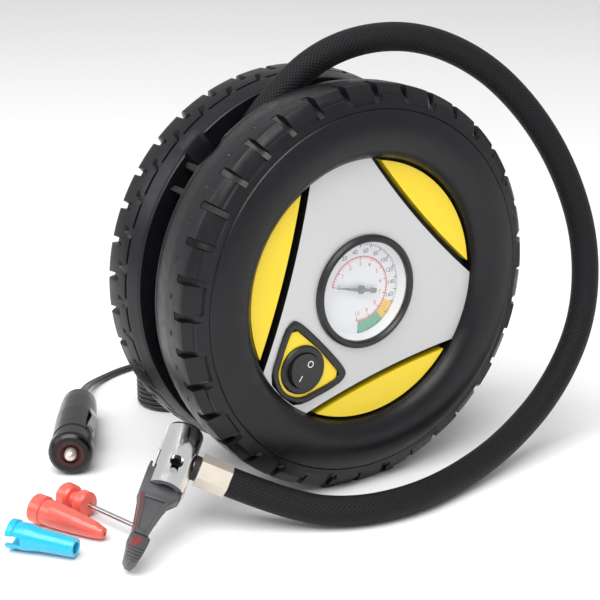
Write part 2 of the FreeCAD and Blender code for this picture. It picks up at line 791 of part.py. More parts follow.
HOSE_LEAVES = (-36.0, 37.75, 68.5)
hose_out = Vector(0.65, 0.0, 0.76).normalize()
gland_start = Vector(*HOSE_LEAVES) - hose_out * 22.0
gland_cup = document.addObject("Part::Cylinder", "gland_cup")
gland_cup.Radius = 6.7
gland_cup.Height = 22.0
move(gland_cup, gland_start.x, gland_start.y, gland_start.z, Rotation(Vector(0, 0, 1), hose_out))
stem_x, stem_z = polar(56.0, stem_angle)
gland_stem = document.addObject("Part::Cylinder", "gland_stem")
gland_stem.Radius = 3.0
gland_stem.Height = 17.0
move(gland_stem, stem_x, 37.75, stem_z, Rotation(Vector(0, 0, 1), Vector(stem_x, 0, stem_z)))
keep(fuse("gland_fused", [gland_cup, gland_stem]), "hose_gland")

CHUCK_AXIS = (0.656, 0.562, 0.505)
NUT_AXIS = (0.752, -0.520, -0.400)
CHUCK_CENTRE = (-93.2, -12.4, 31.2)
chuck_place = frame_at(CHUCK_CENTRE, CHUCK_AXIS, NUT_AXIS)
nut_axis = chuck_place.Rotation.multVec(Vector(1, 0, 0))
hose_end = Vector(*CHUCK_CENTRE) + nut_axis * (SIZES["chuck_radius"] + 2.2 + SIZES["nut_length"])

# the hose: points in the row frame, the first at the gland, the last at the nut
HOSE_POINTS = [
    (-36, 17.75, 160.5),
    (-19, 17.3, 180.4),
    (9, 13.5, 197),
    (44, 7, 199),
    (77, -1, 185),
    (103, -8.5, 160),
    (121, -16, 129),
    (130, -23, 94),
    (124, -30, 58),
    (100, -37, 30),
    (67, -44, 13),
    (32, -52, 6.6),
    (-2, -59, 6.6),
    (-30, -54.5, 6.6),
    (-52, -41, 9.4),
    (hose_end.x, hose_end.y, hose_end.z),
]
hose_radius = SIZES["hose_radius"]
first = Vector(*HOSE_POINTS[0])
hose_section = Part.Wire(Part.makeCircle(hose_radius, first, Vector(*HOSE_POINTS[1]) - first))
hose = tube_along("air_hose", HOSE_POINTS, hose_section, math.pi * hose_radius ** 2)
keep(feature("hose_shape", hose), "air_hose")


def on_chuck(thing, node, back=0.0):
    thing.Placement = chuck_place
    keep(thing, node)


chuck = new_body("chuck_body")
revolve(chuck, [
    (4.4, S.chuck_top),
    (S.chuck_radius - 1.4, S.chuck_top),
    (S.chuck_radius - 0.4, S.chuck_top - 0.5),
    (S.chuck_radius, S.chuck_top - 1.6),
    (S.chuck_radius, S.chuck_bottom),
    (5.6, S.chuck_bottom),
    (5.6, 2.0),
    (6.2, 2.0),
    (6.2, 9.0),
    (4.4, 9.0),
])
pocket(chuck, plane="XY_Plane", front=3.5, depth=7.0, outlines=[[
    (-12.0, S.chuck_bottom - 1.0), (-3.0, S.chuck_bottom - 1.0), (-3.0, 0.6), (-12.0, 0.6)]])
pocket(chuck, plane="YZ_Plane", front=12.0, depth=7.0, circles=[((0.0, 0.0), 3.25)])
pocket(chuck, plane="XY_Plane", circles=[((0.0, -5.2), 2.9)])
pocket(chuck, plane="XY_Plane", outlines=[[(-1.7, -6.0), (1.7, -6.0), (1.7, -10.0), (-1.7, -10.0)]])
pocket(chuck, plane="XY_Plane", circles=[((0.0, S.lever_pin_y), S.lever_pin_radius + 0.1)])
on_chuck(chuck, "chuck_body")

rubber = new_body("chuck_seal")
revolve(rubber, [(2.6, 2.6), (6.2, 2.6), (6.2, 8.8), (2.6, 8.8)])
on_chuck(rubber, "chuck_seal")

lever = new_body("chuck_lever")
pad(lever, -3.0, 6.0, plane="XY_Plane", outlines=[[
    (-3.2, -6.8), (0.0, -5.8), (3.2, -6.8), (4.4, -10.0), (4.4, -17.0), (7.6, -17.4), (7.6, -20.5),
    (5.4, -25.0), (-8.2, -25.0), (-10.0, -22.0), (-10.0, -6.2), (-8.9, -6.2), (-8.9, -9.0), (-4.4, -9.0)]])
pad(lever, -4.4, 8.8, plane="XY_Plane", outlines=[[
    (-10.0, -22.0), (7.0, -20.4), (5.4, -25.0), (2.4, -41.0), (-6.2, -41.0), (-8.2, -25.0)]])
pad(lever, -4.4, 7.9, plane="XY_Plane", outlines=[[
    (2.4, -40.0), (4.4, -41.5), (3.6, -48.0), (1.8, -53.2), (-1.0, -54.8), (-4.0, -54.2), (-5.8, -52.0),
    (-7.4, -41.5), (-6.2, -40.0)]])
pocket(lever, plane="XY_Plane", circles=[((0.0, S.lever_pin_y), S.lever_pin_radius + 0.05)])
pocket(lever, plane="XY_Plane", front=4.4, depth=0.8, outlines=[[
    (-4.8, -26.5), (2.6, -26.5), (0.6, -38.0), (-4.0, -38.0)]])
on_chuck(lever, "chuck_lever")

lever_pin = new_body("lever_pin")
pad(lever_pin, -7.6, 15.2, plane="XY_Plane", circles=[((0.0, S.lever_pin_y), S.lever_pin_radius)])
on_chuck(lever_pin, "lever_pin")

collar = new_body("chuck_collar")
pad(collar, 7.9, 2.3, plane="YZ_Plane", circles=[((0.0, 0.0), 5.4), ((0.0, 0.0), 3.25)])
on_chuck(collar, "chuck_collar")

nut = new_body("hose_nut")
half = S.nut_flats / 2.0
corner = half / math.cos(math.radians(30.0))
hexagon = []
for number in range(6):
    bearing = math.radians(60.0 * number + 30.0)
    hexagon.append((corner * math.cos(bearing), corner * math.sin(bearing)))
pad(nut, 10.2 + 0.3, S.nut_length, plane="YZ_Plane", outlines=[hexagon])
pad(nut, 6.4, 4.6, plane="YZ_Plane", circles=[((0.0, 0.0), 3.2)])
on_chuck(nut, "hose_nut")

# ---------------------------------------------------------------- power cord

PLUG_NOSE = (-109.8, 60.4, 10.6)
PLUG_AXIS = (0.480, 0.877, -0.015)
plug_place = frame_at(PLUG_NOSE, PLUG_AXIS, (0.718, -0.393, 0.574))
plug_axis = plug_place.Rotation.multVec(Vector(0, 1, 0))
cord_start = Vector(*PLUG_NOSE) + plug_axis * (SIZES["plug_length"] + 9.0)

for number, node in enumerate(("plug_upper_half", "plug_lower_half")):
    half_plug = new_body(node)
    revolve(half_plug, [
        (0.0, 9.0), (9.4, 9.0), (9.4, 14.0), (9.8, 15.0), (9.8, 38.0), (9.2, 56.0), (8.6, 64.0),
        (7.0, S.plug_length), (3.6, S.plug_length), (3.2, S.plug_length + 9.0), (0.0, S.plug_length + 9.0)])
    far = -20.0 if number == 0 else 20.0
    pocket(half_plug, plane="YZ_Plane", outlines=[[(0.0, far), (100.0, far), (100.0, 0.0), (0.0, 0.0)]])
    half_plug.Placement = plug_place
    keep(half_plug, node)

plug_ring = new_body("plug_ring")
revolve(plug_ring, [
    (4.6, 0.8), (6.4, 0.2), (8.6, 0.0), (S.plug_radius - 0.6, 1.2), (S.plug_radius, 3.0),
    (S.plug_radius, 8.0), (9.9, 9.0), (S.plug_tip_radius + 0.05, 9.0), (S.plug_tip_radius + 0.05, 3.0),
    (4.6, 2.4)])
plug_ring.Placement = plug_place
keep(plug_ring, "plug_ring")

plug_tip = new_body("plug_tip")
revolve(plug_tip, [
    (0.0, -3.4), (1.2, -3.2), (2.2, -2.2), (S.plug_tip_radius, -0.6), (S.plug_tip_radius, 6.0), (0.0, 6.0)])
plug_tip.Placement = plug_place
keep(plug_tip, "plug_tip")

contacts = new_body("plug_contacts")
for side in (-1.0, 1.0):
    pad(contacts, -2.0, 4.0, plane="XY_Plane", outlines=[[
        (side * 9.85, 16.0), (side * 9.85, 19.0), (side * 12.2, 27.0), (side * 10.3, 35.0),
        (side * 9.85, 39.0), (side * 10.6, 39.0), (side * 11.0, 35.0), (side * 13.0, 27.0),
        (side * 10.6, 19.0), (side * 10.6, 16.0)]])
contacts.AllowCompound = True
contacts.Placement = plug_place
keep(contacts, "plug_contacts")


def twin_section(centre, along, across):
    """The flat twin cord's outline at a point, wide across and thin upwards."""
    forward = Vector(*along).normalize()
    wide = Vector(*across)
    wide = (wide - forward * wide.dot(forward)).normalize()
    thin = forward.cross(wide)
    middle = Vector(*centre)
    half_flat = (SIZES["cord_width"] - SIZES["cord_height"]) / 2
    half_thick = SIZES["cord_height"] / 2
    corners = [middle + wide * half_flat * a + thin * half_thick * b for a, b in
               ((-1, -1), (1, -1), (1, 1), (-1, 1))]
    right = middle + wide * (half_flat + half_thick)
    left = middle - wide * (half_flat + half_thick)
    return Part.Wire([
        Part.makeLine(corners[0], corners[1]),
        Part.Arc(corners[1], right, corners[2]).toShape(),
        Part.makeLine(corners[2], corners[3]),
        Part.Arc(corners[3], left, corners[0]).toShape(),
    ])


def flat_tube(name, points):
    ahead = Vector(*points[1]) - Vector(*points[0])
    section = twin_section(points[0], (ahead.x, ahead.y, ahead.z), (ahead.y, -ahead.x, 0.0))
    area = ((SIZES["cord_width"] - SIZES["cord_height"]) * SIZES["cord_height"]
            + math.pi * SIZES["cord_height"] ** 2 / 4)
    wire, radii = rounded_run([Vector(*place) for place in points])
    solid = wire.makePipeShell([section], True, False, 2)
    print("%s: length %.1f mm, smallest bend %.1f mm, volume share %.3f"
          % (name, wire.Length, min(radii), solid.Volume / (area * wire.Length)))
    return solid


PLUG_CORD_POINTS = [
    (cord_start.x, cord_start.y, cord_start.z),
    (-62, 147, 5.4),
    (-47, 162, 1.5),
    (-24, 171, 1.5),
    (2, 169, 1.5),
    (26, 159, 1.5),
    (44, 147, 2.6),
    (54, 134, 6.5),
]
REAR_CORD_POINTS = [
    (42.42, 75.5, 41.44),
    (43.0, 88.0, 38.5),
    (47.5, 95.0, 27.0),
    (53.0, 101.0, 14.0),
]
keep(feature("plug_cord_shape", flat_tube("power_cord", PLUG_CORD_POINTS)), "power_cord")
keep(feature("rear_cord_shape", flat_tube("power_cord_rear", REAR_CORD_POINTS)), "power_cord_rear")

# the folded length of cord, tied, lying behind the wheel
hank = new_body("cord_hank")
hank_low = -45.0
HANK_Y = 118.0
hank_outline = []
for end_x, start in ((hank_low + SIZES["hank_length"] - 20.0, -90.0), (hank_low + 20.0, 90.0)):
    for step in range(9):
        bearing = math.radians(start + 22.5 * step)
        hank_outline.append((end_x + 20.0 * math.cos(bearing), HANK_Y + 20.0 * math.sin(bearing)))
pad(hank, 0.3, S.hank_height - 0.6, plane="XY_Plane", outlines=[hank_outline])
keep(hank, "cord_hank")

tie = new_body("hank_tie")
sketch_outer = [(HANK_Y - 20.9, 0.0), (HANK_Y + 20.9, 0.0), (HANK_Y + 20.9, S.hank_height + 0.9),
                (HANK_Y - 20.9, S.hank_height + 0.9)]
sketch_inner = [(HANK_Y - 20.05, 0.25), (HANK_Y + 20.05, 0.25), (HANK_Y + 20.05, S.hank_height),
                (HANK_Y - 20.05, S.hank_height)]
pad(tie, 4.0, 7.0, plane="YZ_Plane", outlines=[sketch_outer, sketch_inner])
keep(tie, "hank_tie")

gland = new_body("cord_gland")
revolve(gland, [
    (0.0, 69.0), (3.5, 69.0), (3.5, 75.3), (6.0, 75.6), (6.0, 78.0), (5.2, 79.0), (3.8, 95.5), (0.0, 95.5)])
move(gland, cord_x, 0.0, cord_z)
keep(gland, "cord_gland")

# ---------------------------------------------------------------- nozzles beside the inflator

NOZZLES = {
    "needle_adapter": ((-125.7, 32.8, 5.9), (0.256, -0.967, 0.0)),
    "cone_nozzle": ((-142.3, 25.5, 6.8), (0.452, -0.892, -0.09)),
    "blue_nozzle": ((-160.4, 9.1, 6.6), (0.610, -0.792, -0.06)),
}


def nozzle(node, profile):
    start, along = NOZZLES[node]
    body = new_body(node)
    revolve(body, profile)
    body.Placement = frame_at(start, along, (0.97, 0.25, 0.0))
    keep(body, node)
    return body


nozzle("needle_adapter", [
    (0.8, 0.0), (5.0, 0.0), (5.8, 1.2), (5.8, 5.6), (5.0, 6.8), (3.4, 7.2), (3.0, 9.0), (3.4, 10.6),
    (5.0, 11.0), (5.6, 12.0), (5.6, 15.6), (4.8, 16.6), (2.0, 17.0), (1.1, 17.4), (1.1, 12.0), (0.8, 12.0)])
needle_tube = new_body("needle_tube")
revolve(needle_tube, [(0.6, 12.0), (1.1, 12.0), (1.1, 48.0), (0.6, 48.0)])
needle_tube.Placement = frame_at(NOZZLES["needle_adapter"][0], NOZZLES["needle_adapter"][1], (0.97, 0.25, 0.0))
keep(needle_tube, "needle_tube")

nozzle("cone_nozzle", [
    (5.0, 0.0), (6.4, 0.0), (6.4, 5.0), (5.6, 5.8), (5.8, 10.0), (4.8, 22.0), (3.6, 32.0), (2.4, 36.6),
    (1.0, 37.2), (1.0, 32.0), (3.4, 22.0), (4.4, 10.0), (4.4, 5.8)])
blue = nozzle("blue_nozzle", [
    (4.8, 0.0), (6.4, 0.0), (6.4, 2.6), (5.8, 3.4), (5.8, 8.0), (4.8, 14.0), (4.0, 30.0), (2.6, 30.0),
    (3.4, 14.0), (4.4, 8.0)])
pocket(blue, plane="YZ_Plane", outlines=[[(-1.0, -2.0), (7.0, -2.0), (7.0, 2.0), (-1.0, 2.0)]])

# ---------------------------------------------------------------- checks and files

document.recompute()
for thing in document.Objects:
    if "Invalid" in thing.State or "Error" in thing.State:
        raise RuntimeError("%s did not build: %s" % (thing.Name, thing.State))
for node, thing in nodes.items():
    if thing.Shape.isNull() or not thing.Shape.isValid():
        raise RuntimeError("%s has no valid shape" % node)
os.makedirs("parts", exist_ok=True)
for node, thing in nodes.items():
    thing.Shape.exportStep("parts/%s.step" % node)
    bounds = thing.Shape.BoundBox
    print("%-22s solids %d  volume %9.1f  x %7.1f..%7.1f  y %7.1f..%7.1f  z %6.1f..%6.1f" % (
        node, len(thing.Shape.Solids), thing.Shape.Volume, bounds.XMin, bounds.XMax,
        bounds.YMin, bounds.YMax, bounds.ZMin, bounds.ZMax))
print("%d nodes" % len(nodes))
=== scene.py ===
import math

import bmesh
import bpy
from mathutils import Matrix, Vector


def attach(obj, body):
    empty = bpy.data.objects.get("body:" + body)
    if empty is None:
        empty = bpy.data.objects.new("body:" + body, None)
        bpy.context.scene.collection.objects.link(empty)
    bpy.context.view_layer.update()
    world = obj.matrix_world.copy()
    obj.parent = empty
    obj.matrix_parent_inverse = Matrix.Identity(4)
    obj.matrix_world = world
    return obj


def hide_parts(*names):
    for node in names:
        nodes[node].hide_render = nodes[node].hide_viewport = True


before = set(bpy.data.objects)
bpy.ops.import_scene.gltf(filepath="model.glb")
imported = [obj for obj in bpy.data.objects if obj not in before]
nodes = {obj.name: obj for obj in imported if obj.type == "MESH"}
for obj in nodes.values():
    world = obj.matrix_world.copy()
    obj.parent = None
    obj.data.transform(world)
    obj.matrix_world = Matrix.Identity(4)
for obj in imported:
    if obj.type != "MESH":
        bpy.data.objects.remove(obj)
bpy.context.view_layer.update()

MM = 0.001
WHEEL_RADIUS = 92.0
WHEEL = Vector((0.0, -20.0, WHEEL_RADIUS))


def wheel_point(radius, depth, degrees):
    """Metres from a radius, a depth behind the face plane and a bearing, about the wheel's own axis."""
    turn = math.radians(degrees)
    return (WHEEL + Vector((radius * math.cos(turn), depth, radius * math.sin(turn)))) * MM


def on_face(x, z, depth):
    """Metres from a place on the wheel's face, about its middle, and a depth behind it."""
    return (WHEEL + Vector((x, depth, z))) * MM


def link(name, data):
    piece = bpy.data.objects.new(name, data)
    bpy.context.scene.collection.objects.link(piece)
    return piece


def circle(radius, steps):
    turns = [2.0 * math.pi * k / steps for k in range(steps)]
    return [(radius * math.cos(turn), radius * math.sin(turn)) for turn in turns]


def curve_point(a, b, c, d, t):
    """The point at a share t of the way from b to c, on the smooth curve through a, b, c and d."""
    return tuple(0.5 * (2 * q + (r - p) * t + (2 * p - 5 * q + 4 * r - s) * t * t
                        + (3 * q - p - 3 * r + s) * t ** 3) for p, q, r, s in zip(a, b, c, d))


def square_axes(forward, side):
    """Three square axes from a forward direction and a rough sideways one."""
    forward = forward.normalized()
    side = (side - forward * side.dot(forward)).normalized()
    return side, forward, side.cross(forward)


def join_rows(bm, rows, ring=False):
    """Join closed rows of points with faces. A ring has no ends; anything else is capped."""
    pairs = list(zip(rows, rows[1:]))
    if ring:
        pairs.append((rows[-1], rows[0]))
    for first, second in pairs:
        for k in range(len(first)):
            after = (k + 1) % len(first)
            bm.faces.new((first[k], first[after], second[after], second[k]))
    if not ring:
        bm.faces.new(rows[0])
        bm.faces.new(rows[-1])


def mesh_piece(name, bm, material, body, smooth=35.0):
    """A piece on a body from a bmesh; edges of more than smooth degrees stay sharp."""
    bmesh.ops.recalc_face_normals(bm, faces=bm.faces)
    for face in bm.faces:
        face.smooth = True
    for edge in bm.edges:
        if len(edge.link_faces) == 2 and edge.calc_face_angle(0.0) > math.radians(smooth):
            edge.smooth = False
    mesh = bpy.data.meshes.new(name)
    bm.to_mesh(mesh)
    bm.free()
    mesh.materials.append(material)
    piece = link(name, mesh)
    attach(piece, body)
    return piece


# ------------------------------------------------------------------ camera

# fitted to the photograph's wheel circles
CAMERA_PLACE = Vector((-359.3, -518.2, 289.3))
AZIMUTH, ELEVATION, ROLL = -33.1, 18.148, -0.259
SENSOR_WIDTH, LENS = 36.0, 87.45

camera_data = bpy.data.cameras.new("camera")
camera_data.sensor_width = SENSOR_WIDTH
camera_data.lens = LENS
camera_data.clip_start = 0.01
camera = link("camera", camera_data)
camera.matrix_world = (Matrix.Translation(CAMERA_PLACE * MM)
                       @ Matrix.Rotation(math.radians(AZIMUTH), 4, "Z")
                       @ Matrix.Rotation(math.radians(90.0 - ELEVATION), 4, "X")
                       @ Matrix.Rotation(math.radians(ROLL), 4, "Z"))
bpy.context.scene.camera = camera

# ------------------------------------------------------------------ finishes

NOISE_LOW, NOISE_HIGH = 0.3, 0.7  # nearly all of a noise texture's values lie between these
FRONT_COSINE = 0.6  # a face turned less far from the front than this counts as the front

class Finish:
    """A node material around one Principled shader, textured in the object's own metres."""

    def __init__(self, name, colour, rough, metal=0.0, **inputs):
        self.material = bpy.data.materials.new(name)
        self.material.use_nodes = True
        self.tree = self.material.node_tree
        self.shader = self.tree.nodes["Principled BSDF"]
        self.place = self.node("ShaderNodeTexCoord").outputs["Object"]
        self.colour = colour
        self.shader.inputs["Base Color"].default_value = (*colour, 1.0)
        self.shader.inputs["Roughness"].default_value = rough
        self.shader.inputs["Metallic"].default_value = metal
        self.rough = rough
        self.height = None
        for key, value in inputs.items():
            self.shader.inputs[key.replace("_", " ")].default_value = value

    def node(self, kind, **values):
        made = self.tree.nodes.new(kind)
        for key, value in values.items():
            setattr(made, key, value)
        return made

    def join(self, source, target):
        self.tree.links.new(source, target)

    def noise(self, scale, detail=3.0, stretch=None):
        texture = self.node("ShaderNodeTexNoise")
        texture.inputs["Scale"].default_value = scale
        texture.inputs["Detail"].default_value = detail
        if stretch:
            mapping = self.node("ShaderNodeMapping")
            mapping.inputs["Scale"].default_value = stretch
            self.join(self.place, mapping.inputs["Vector"])
            self.join(mapping.outputs["Vector"], texture.inputs["Vector"])
        else:
            self.join(self.place, texture.inputs["Vector"])
        return texture.outputs["Fac"]

    def between(self, value, low, high):
        """A noise value spread from low to high."""
        ranged = self.node("ShaderNodeMapRange")
        ranged.inputs["From Min"].default_value = NOISE_LOW
        ranged.inputs["From Max"].default_value = NOISE_HIGH
        ranged.inputs["To Min"].default_value = low
        ranged.inputs["To Max"].default_value = high
        self.join(value, ranged.inputs["Value"])
        return ranged.outputs["Result"]

    def mottle(self, scale, share):
        """The colour drifts by a share of itself over patches."""
        mix = self.node("ShaderNodeMix", data_type="RGBA")
        mix.inputs["A"].default_value = (*[c * (1.0 - share) for c in self.colour], 1.0)
        mix.inputs["B"].default_value = (*[min(1.0, c * (1.0 + share)) for c in self.colour], 1.0)
        self.join(self.between(self.noise(scale), 0.0, 1.0), mix.inputs["Factor"])
        self.join(mix.outputs["Result"], self.shader.inputs["Base Color"])
        return self

    def dark_sides(self, colour, facing):
        """Faces that don't look towards facing take a second colour, as on a painted front."""
        normal = self.node("ShaderNodeNewGeometry").outputs["True Normal"]
        towards = self.node("ShaderNodeVectorMath", operation="DOT_PRODUCT")
        towards.inputs[1].default_value = facing
        self.join(normal, towards.inputs[0])
        front = self.node("ShaderNodeMath", operation="GREATER_THAN")
        front.inputs[1].default_value = FRONT_COSINE
        self.join(towards.outputs["Value"], front.inputs[0])
        mix = self.node("ShaderNodeMix", data_type="RGBA")
        mix.inputs["A"].default_value = (*colour, 1.0)
        mix.inputs["B"].default_value = (*self.colour, 1.0)
        base = self.shader.inputs["Base Color"]
        if base.links:
            self.join(base.links[0].from_socket, mix.inputs["B"])
        self.join(front.outputs["Value"], mix.inputs["Factor"])
        self.join(mix.outputs["Result"], base)
        return self

    def gloss(self, scale, spread, stretch=None):
        """The roughness drifts, as handling and moulding leave it."""
        noise = self.noise(scale, 4.0, stretch)
        drift = self.between(noise, self.rough - spread, self.rough + spread)
        self.join(drift, self.shader.inputs["Roughness"])
        return self

    def grain(self, scale, depth, stretch=None, strength=0.5):
        """Fine relief, in metres."""
        return self.relief(self.noise(scale, 2.0, stretch), depth, strength)

    def relief(self, height, depth, strength=0.5):
        """A bump on top of any relief there is."""
        bump = self.node("ShaderNodeBump")
        bump.inputs["Strength"].default_value = strength
        bump.inputs["Distance"].default_value = depth
        self.join(height, bump.inputs["Height"])
        if self.height is not None:
            self.join(self.height, bump.inputs["Normal"])
        self.height = bump.outputs["Normal"]
        self.join(self.height, self.shader.inputs["Normal"])
        return self


def ink(name, colour, scale, share):
    return Finish(name, colour, 0.5).mottle(scale, share).grain(5200, 0.00002)


tyre = Finish("tyre_plastic", (0.0050, 0.0047, 0.0068), 0.34, Specular_IOR_Level=0.34)
tyre.mottle(35, 0.14).gloss(220, 0.07)
tyre.grain(3200, 0.00012, strength=0.35).grain(420, 0.0003, strength=0.06)
inner = Finish("inner_black_plastic", (0.006, 0.006, 0.007), 0.7)
inner.mottle(60, 0.3).gloss(150, 0.1).grain(2500, 0.0001)
silver = Finish("silver_satin_paint", (0.60, 0.60, 0.605), 0.40, metal=0.25)
silver.mottle(5200, 0.05).gloss(90, 0.05).grain(4200, 0.00003, strength=0.25)
silver.dark_sides((0.006, 0.006, 0.007), (0, -1, 0))
yellow = Finish("yellow_gloss_plastic", (0.93, 0.68, 0.009), 0.3, Coat_Weight=0.25, Coat_Roughness=0.12)
yellow.mottle(22, 0.02).gloss(120, 0.05).grain(900, 0.00006, strength=0.15)
trim = Finish("trim_black_plastic", (0.010, 0.010, 0.011), 0.36)
trim.mottle(60, 0.15).gloss(240, 0.07).grain(3400, 0.00006, strength=0.3)
rocker_black = Finish("rocker_black_plastic", (0.016, 0.016, 0.018), 0.40)
rocker_black.mottle(90, 0.12).gloss(300, 0.06).grain(3800, 0.00009, strength=0.4)
white_ink = ink("white_ink", (0.82, 0.82, 0.80), 1800, 0.06)
lens = Finish("clear_lens", (0.9, 0.93, 0.95), 0.05, Alpha=0.09, Coat_Weight=0.5, Coat_Roughness=0.03)
lens.gloss(140, 0.02)
lens.material.surface_render_method = "BLENDED"
dial_white = Finish("dial_card", (0.80, 0.81, 0.83), 0.45)
dial_white.mottle(90, 0.02).grain(4200, 0.00003, strength=0.2)
dial_red = ink("dial_red_ink", (0.78, 0.10, 0.13), 2400, 0.12)
dial_grey = ink("dial_grey_ink", (0.13, 0.14, 0.16), 2400, 0.15)
dial_green = ink("dial_green_ink", (0.10, 0.40, 0.24), 700, 0.08)
dial_orange = ink("dial_orange_ink", (0.85, 0.52, 0.05), 700, 0.08)
needle_grey = Finish("needle_grey_paint", (0.16, 0.17, 0.18), 0.4, metal=0.2)
needle_grey.mottle(600, 0.1).grain(4200, 0.00002)
chrome = Finish("polished_chrome", (0.93, 0.935, 0.94), 0.12, metal=1.0)
chrome.mottle(40, 0.03).gloss(300, 0.035).grain(1400, 0.00002, strength=0.12)
steel = Finish("bare_steel", (0.56, 0.56, 0.58), 0.28, metal=1.0)
steel.mottle(70, 0.08).gloss(400, 0.08, (1, 12, 1)).grain(2600, 0.00003, strength=0.2)
nickel = Finish("warm_nickel_plate", (0.80, 0.72, 0.62), 0.34, metal=0.6)
nickel.mottle(30, 0.03).gloss(350, 0.05).grain(1800, 0.00001, strength=0.1)
brass = Finish("brass", (0.78, 0.58, 0.26), 0.3, metal=1.0)
brass.mottle(90, 0.1).gloss(300, 0.07).grain(2200, 0.00004, strength=0.2)
aluminium = Finish("cast_aluminium", (0.62, 0.63, 0.65), 0.42, metal=1.0)
aluminium.mottle(70, 0.08).gloss(300, 0.08).grain(1300, 0.00012)
nylon = Finish("white_nylon", (0.75, 0.74, 0.70), 0.45, Subsurface_Weight=0.15)
nylon.mottle(70, 0.04).gloss(200, 0.06).grain(2600, 0.00004)
rubber = Finish("black_rubber", (0.014, 0.014, 0.015), 0.62)
rubber.mottle(70, 0.2).gloss(260, 0.08).grain(2400, 0.00008)
plug_black = Finish("plug_gloss_black", (0.004, 0.004, 0.0045), 0.24, Specular_IOR_Level=0.45)
plug_black.mottle(50, 0.2).gloss(170, 0.04).grain(900, 0.00004, strength=0.1)
plug_red = Finish("plug_dark_red", (0.050, 0.006, 0.008), 0.5)
plug_red.mottle(220, 0.25).grain(2400, 0.00006)
lever_grey = Finish("lever_grey_plastic", (0.062, 0.062, 0.067), 0.36)
lever_grey.mottle(60, 0.1).gloss(260, 0.06).grain(3000, 0.00008, strength=0.35)
lever_red = Finish("lever_red_paint", (0.22, 0.018, 0.025), 0.45)
lever_red.mottle(300, 0.15).grain(3000, 0.00004)
coral = Finish("coral_translucent_plastic", (0.90, 0.15, 0.11), 0.18, Subsurface_Weight=0.55,
               Subsurface_Scale=0.004, Transmission_Weight=0.12, Coat_Weight=0.3, Coat_Roughness=0.1)
coral.shader.inputs["Subsurface Radius"].default_value = (1.0, 0.35, 0.2)
coral.mottle(30, 0.02).gloss(260, 0.05).grain(1500, 0.00005, strength=0.15)
blue = Finish("blue_translucent_plastic", (0.015, 0.56, 0.86), 0.22, Subsurface_Weight=0.5,
              Subsurface_Scale=0.004, Transmission_Weight=0.15, Coat_Weight=0.3, Coat_Roughness=0.1)
blue.mottle(30, 0.02).gloss(260, 0.05).grain(1500, 0.00005, strength=0.15)
cord_black = Finish("cord_gloss_black", (0.011, 0.011, 0.012), 0.3)
cord_black.mottle(60, 0.2).gloss(220, 0.06).grain(1800, 0.00005, strength=0.15)
tie_black = Finish("tie_black", (0.02, 0.02, 0.021), 0.55)
tie_black.mottle(90, 0.2).gloss(260, 0.08).grain(2600, 0.00006)

STRAND_SCALE, STRAND_LEAN = 230.0, 48.0
braid = Finish("hose_braid", (0.0075, 0.0075, 0.009), 0.5, Specular_IOR_Level=0.18)
strand_height = None
uv = braid.node("ShaderNodeUVMap").outputs["UV"]
for lean in (1.0, -1.0):
    wave = braid.node("ShaderNodeTexWave", wave_type="BANDS", bands_direction="X")
    wave.inputs["Scale"].default_value = STRAND_SCALE
    wave.inputs["Distortion"].default_value = 0.6
    wave.inputs["Detail Scale"].default_value = 2.0
    turned = braid.node("ShaderNodeMapping")
    turned.inputs["Rotation"].default_value = (0.0, 0.0, lean * math.radians(STRAND_LEAN))
    braid.join(uv, turned.inputs["Vector"])
    braid.join(turned.outputs["Vector"], wave.inputs["Vector"])
    if strand_height is None:
        strand_height = wave.outputs["Fac"]
    else:
        cross = braid.node("ShaderNodeMath", operation="MAXIMUM")
        braid.join(strand_height, cross.inputs[0])
        braid.join(wave.outputs["Fac"], cross.inputs[1])
        strand_height = cross.outputs["Value"]
# painted shade: the braid's colour runs from near black down in the hollows between strands up to its
# own dark grey on their crests, following the strands' height
strand_hollow_shade = braid.node("ShaderNodeMix", data_type="RGBA")
strand_hollow_shade.inputs["A"].default_value = (0.0015, 0.0015, 0.002, 1.0)
strand_hollow_shade.inputs["B"].default_value = (0.011, 0.011, 0.013, 1.0)
braid.join(strand_height, strand_hollow_shade.inputs["Factor"])
braid.join(strand_hollow_shade.outputs["Result"], braid.shader.inputs["Base Color"])
braid.relief(strand_height, 0.00035, 0.8).grain(3200, 0.0001, strength=0.4)

# a finish for each material slot of the record, and for the pieces that differ from their slot
SLOTS = {
    "tyre_black": tyre, "inner_black": inner, "silver": silver, "yellow": yellow, "trim_black": trim,
    "lens_clear": lens, "dial_white": dial_white, "needle_grey": needle_grey, "steel": steel,
    "brass": brass, "nickel": nickel, "chrome": chrome, "aluminium": aluminium, "nylon": nylon,
    "rubber_black": rubber, "hose_braid": braid, "cord_black": cord_black, "plug_black": plug_black,
    "lever_grey": lever_grey, "coral": coral, "blue": blue,
}
OWN = {
    "switch_rocker": rocker_black, "chuck_collar": rubber, "hank_tie": tie_black, "cord_gland": rubber,
    "hose_gland": rubber, "plug_contacts": steel, "needle_tube": steel, "chuck_clip": inner,
    "gauge_rim": dial_white, "gauge_case": dial_white,
}
for name, piece in nodes.items():
    for slot in piece.material_slots:
        slot_name = slot.material.name.split(".")[0] if slot.material else ""
        slot.material = (OWN.get(name) or SLOTS.get(slot_name, trim)).material

# ------------------------------------------------------------------ cords


def route(points):
    """The smooth line through a route: one open NURBS spline, read back as points."""
    curve = bpy.data.curves.new("route", "CURVE")
    curve.dimensions = "3D"
    curve.resolution_u = 10
    spline = curve.splines.new("NURBS")
    spline.points.add(len(points) - 1)
    for control, place in zip(spline.points, points):
        control.co = (*[c * MM for c in place], 1.0)
    spline.order_u = 3
    spline.use_endpoint_u = True
    holder = link("route", curve)
    bpy.context.view_layer.update()
    line = bpy.data.meshes.new_from_object(holder)
    path = [vertex.co.copy() for vertex in line.vertices]
    bpy.data.objects.remove(holder)
    bpy.data.meshes.remove(line)
    return path


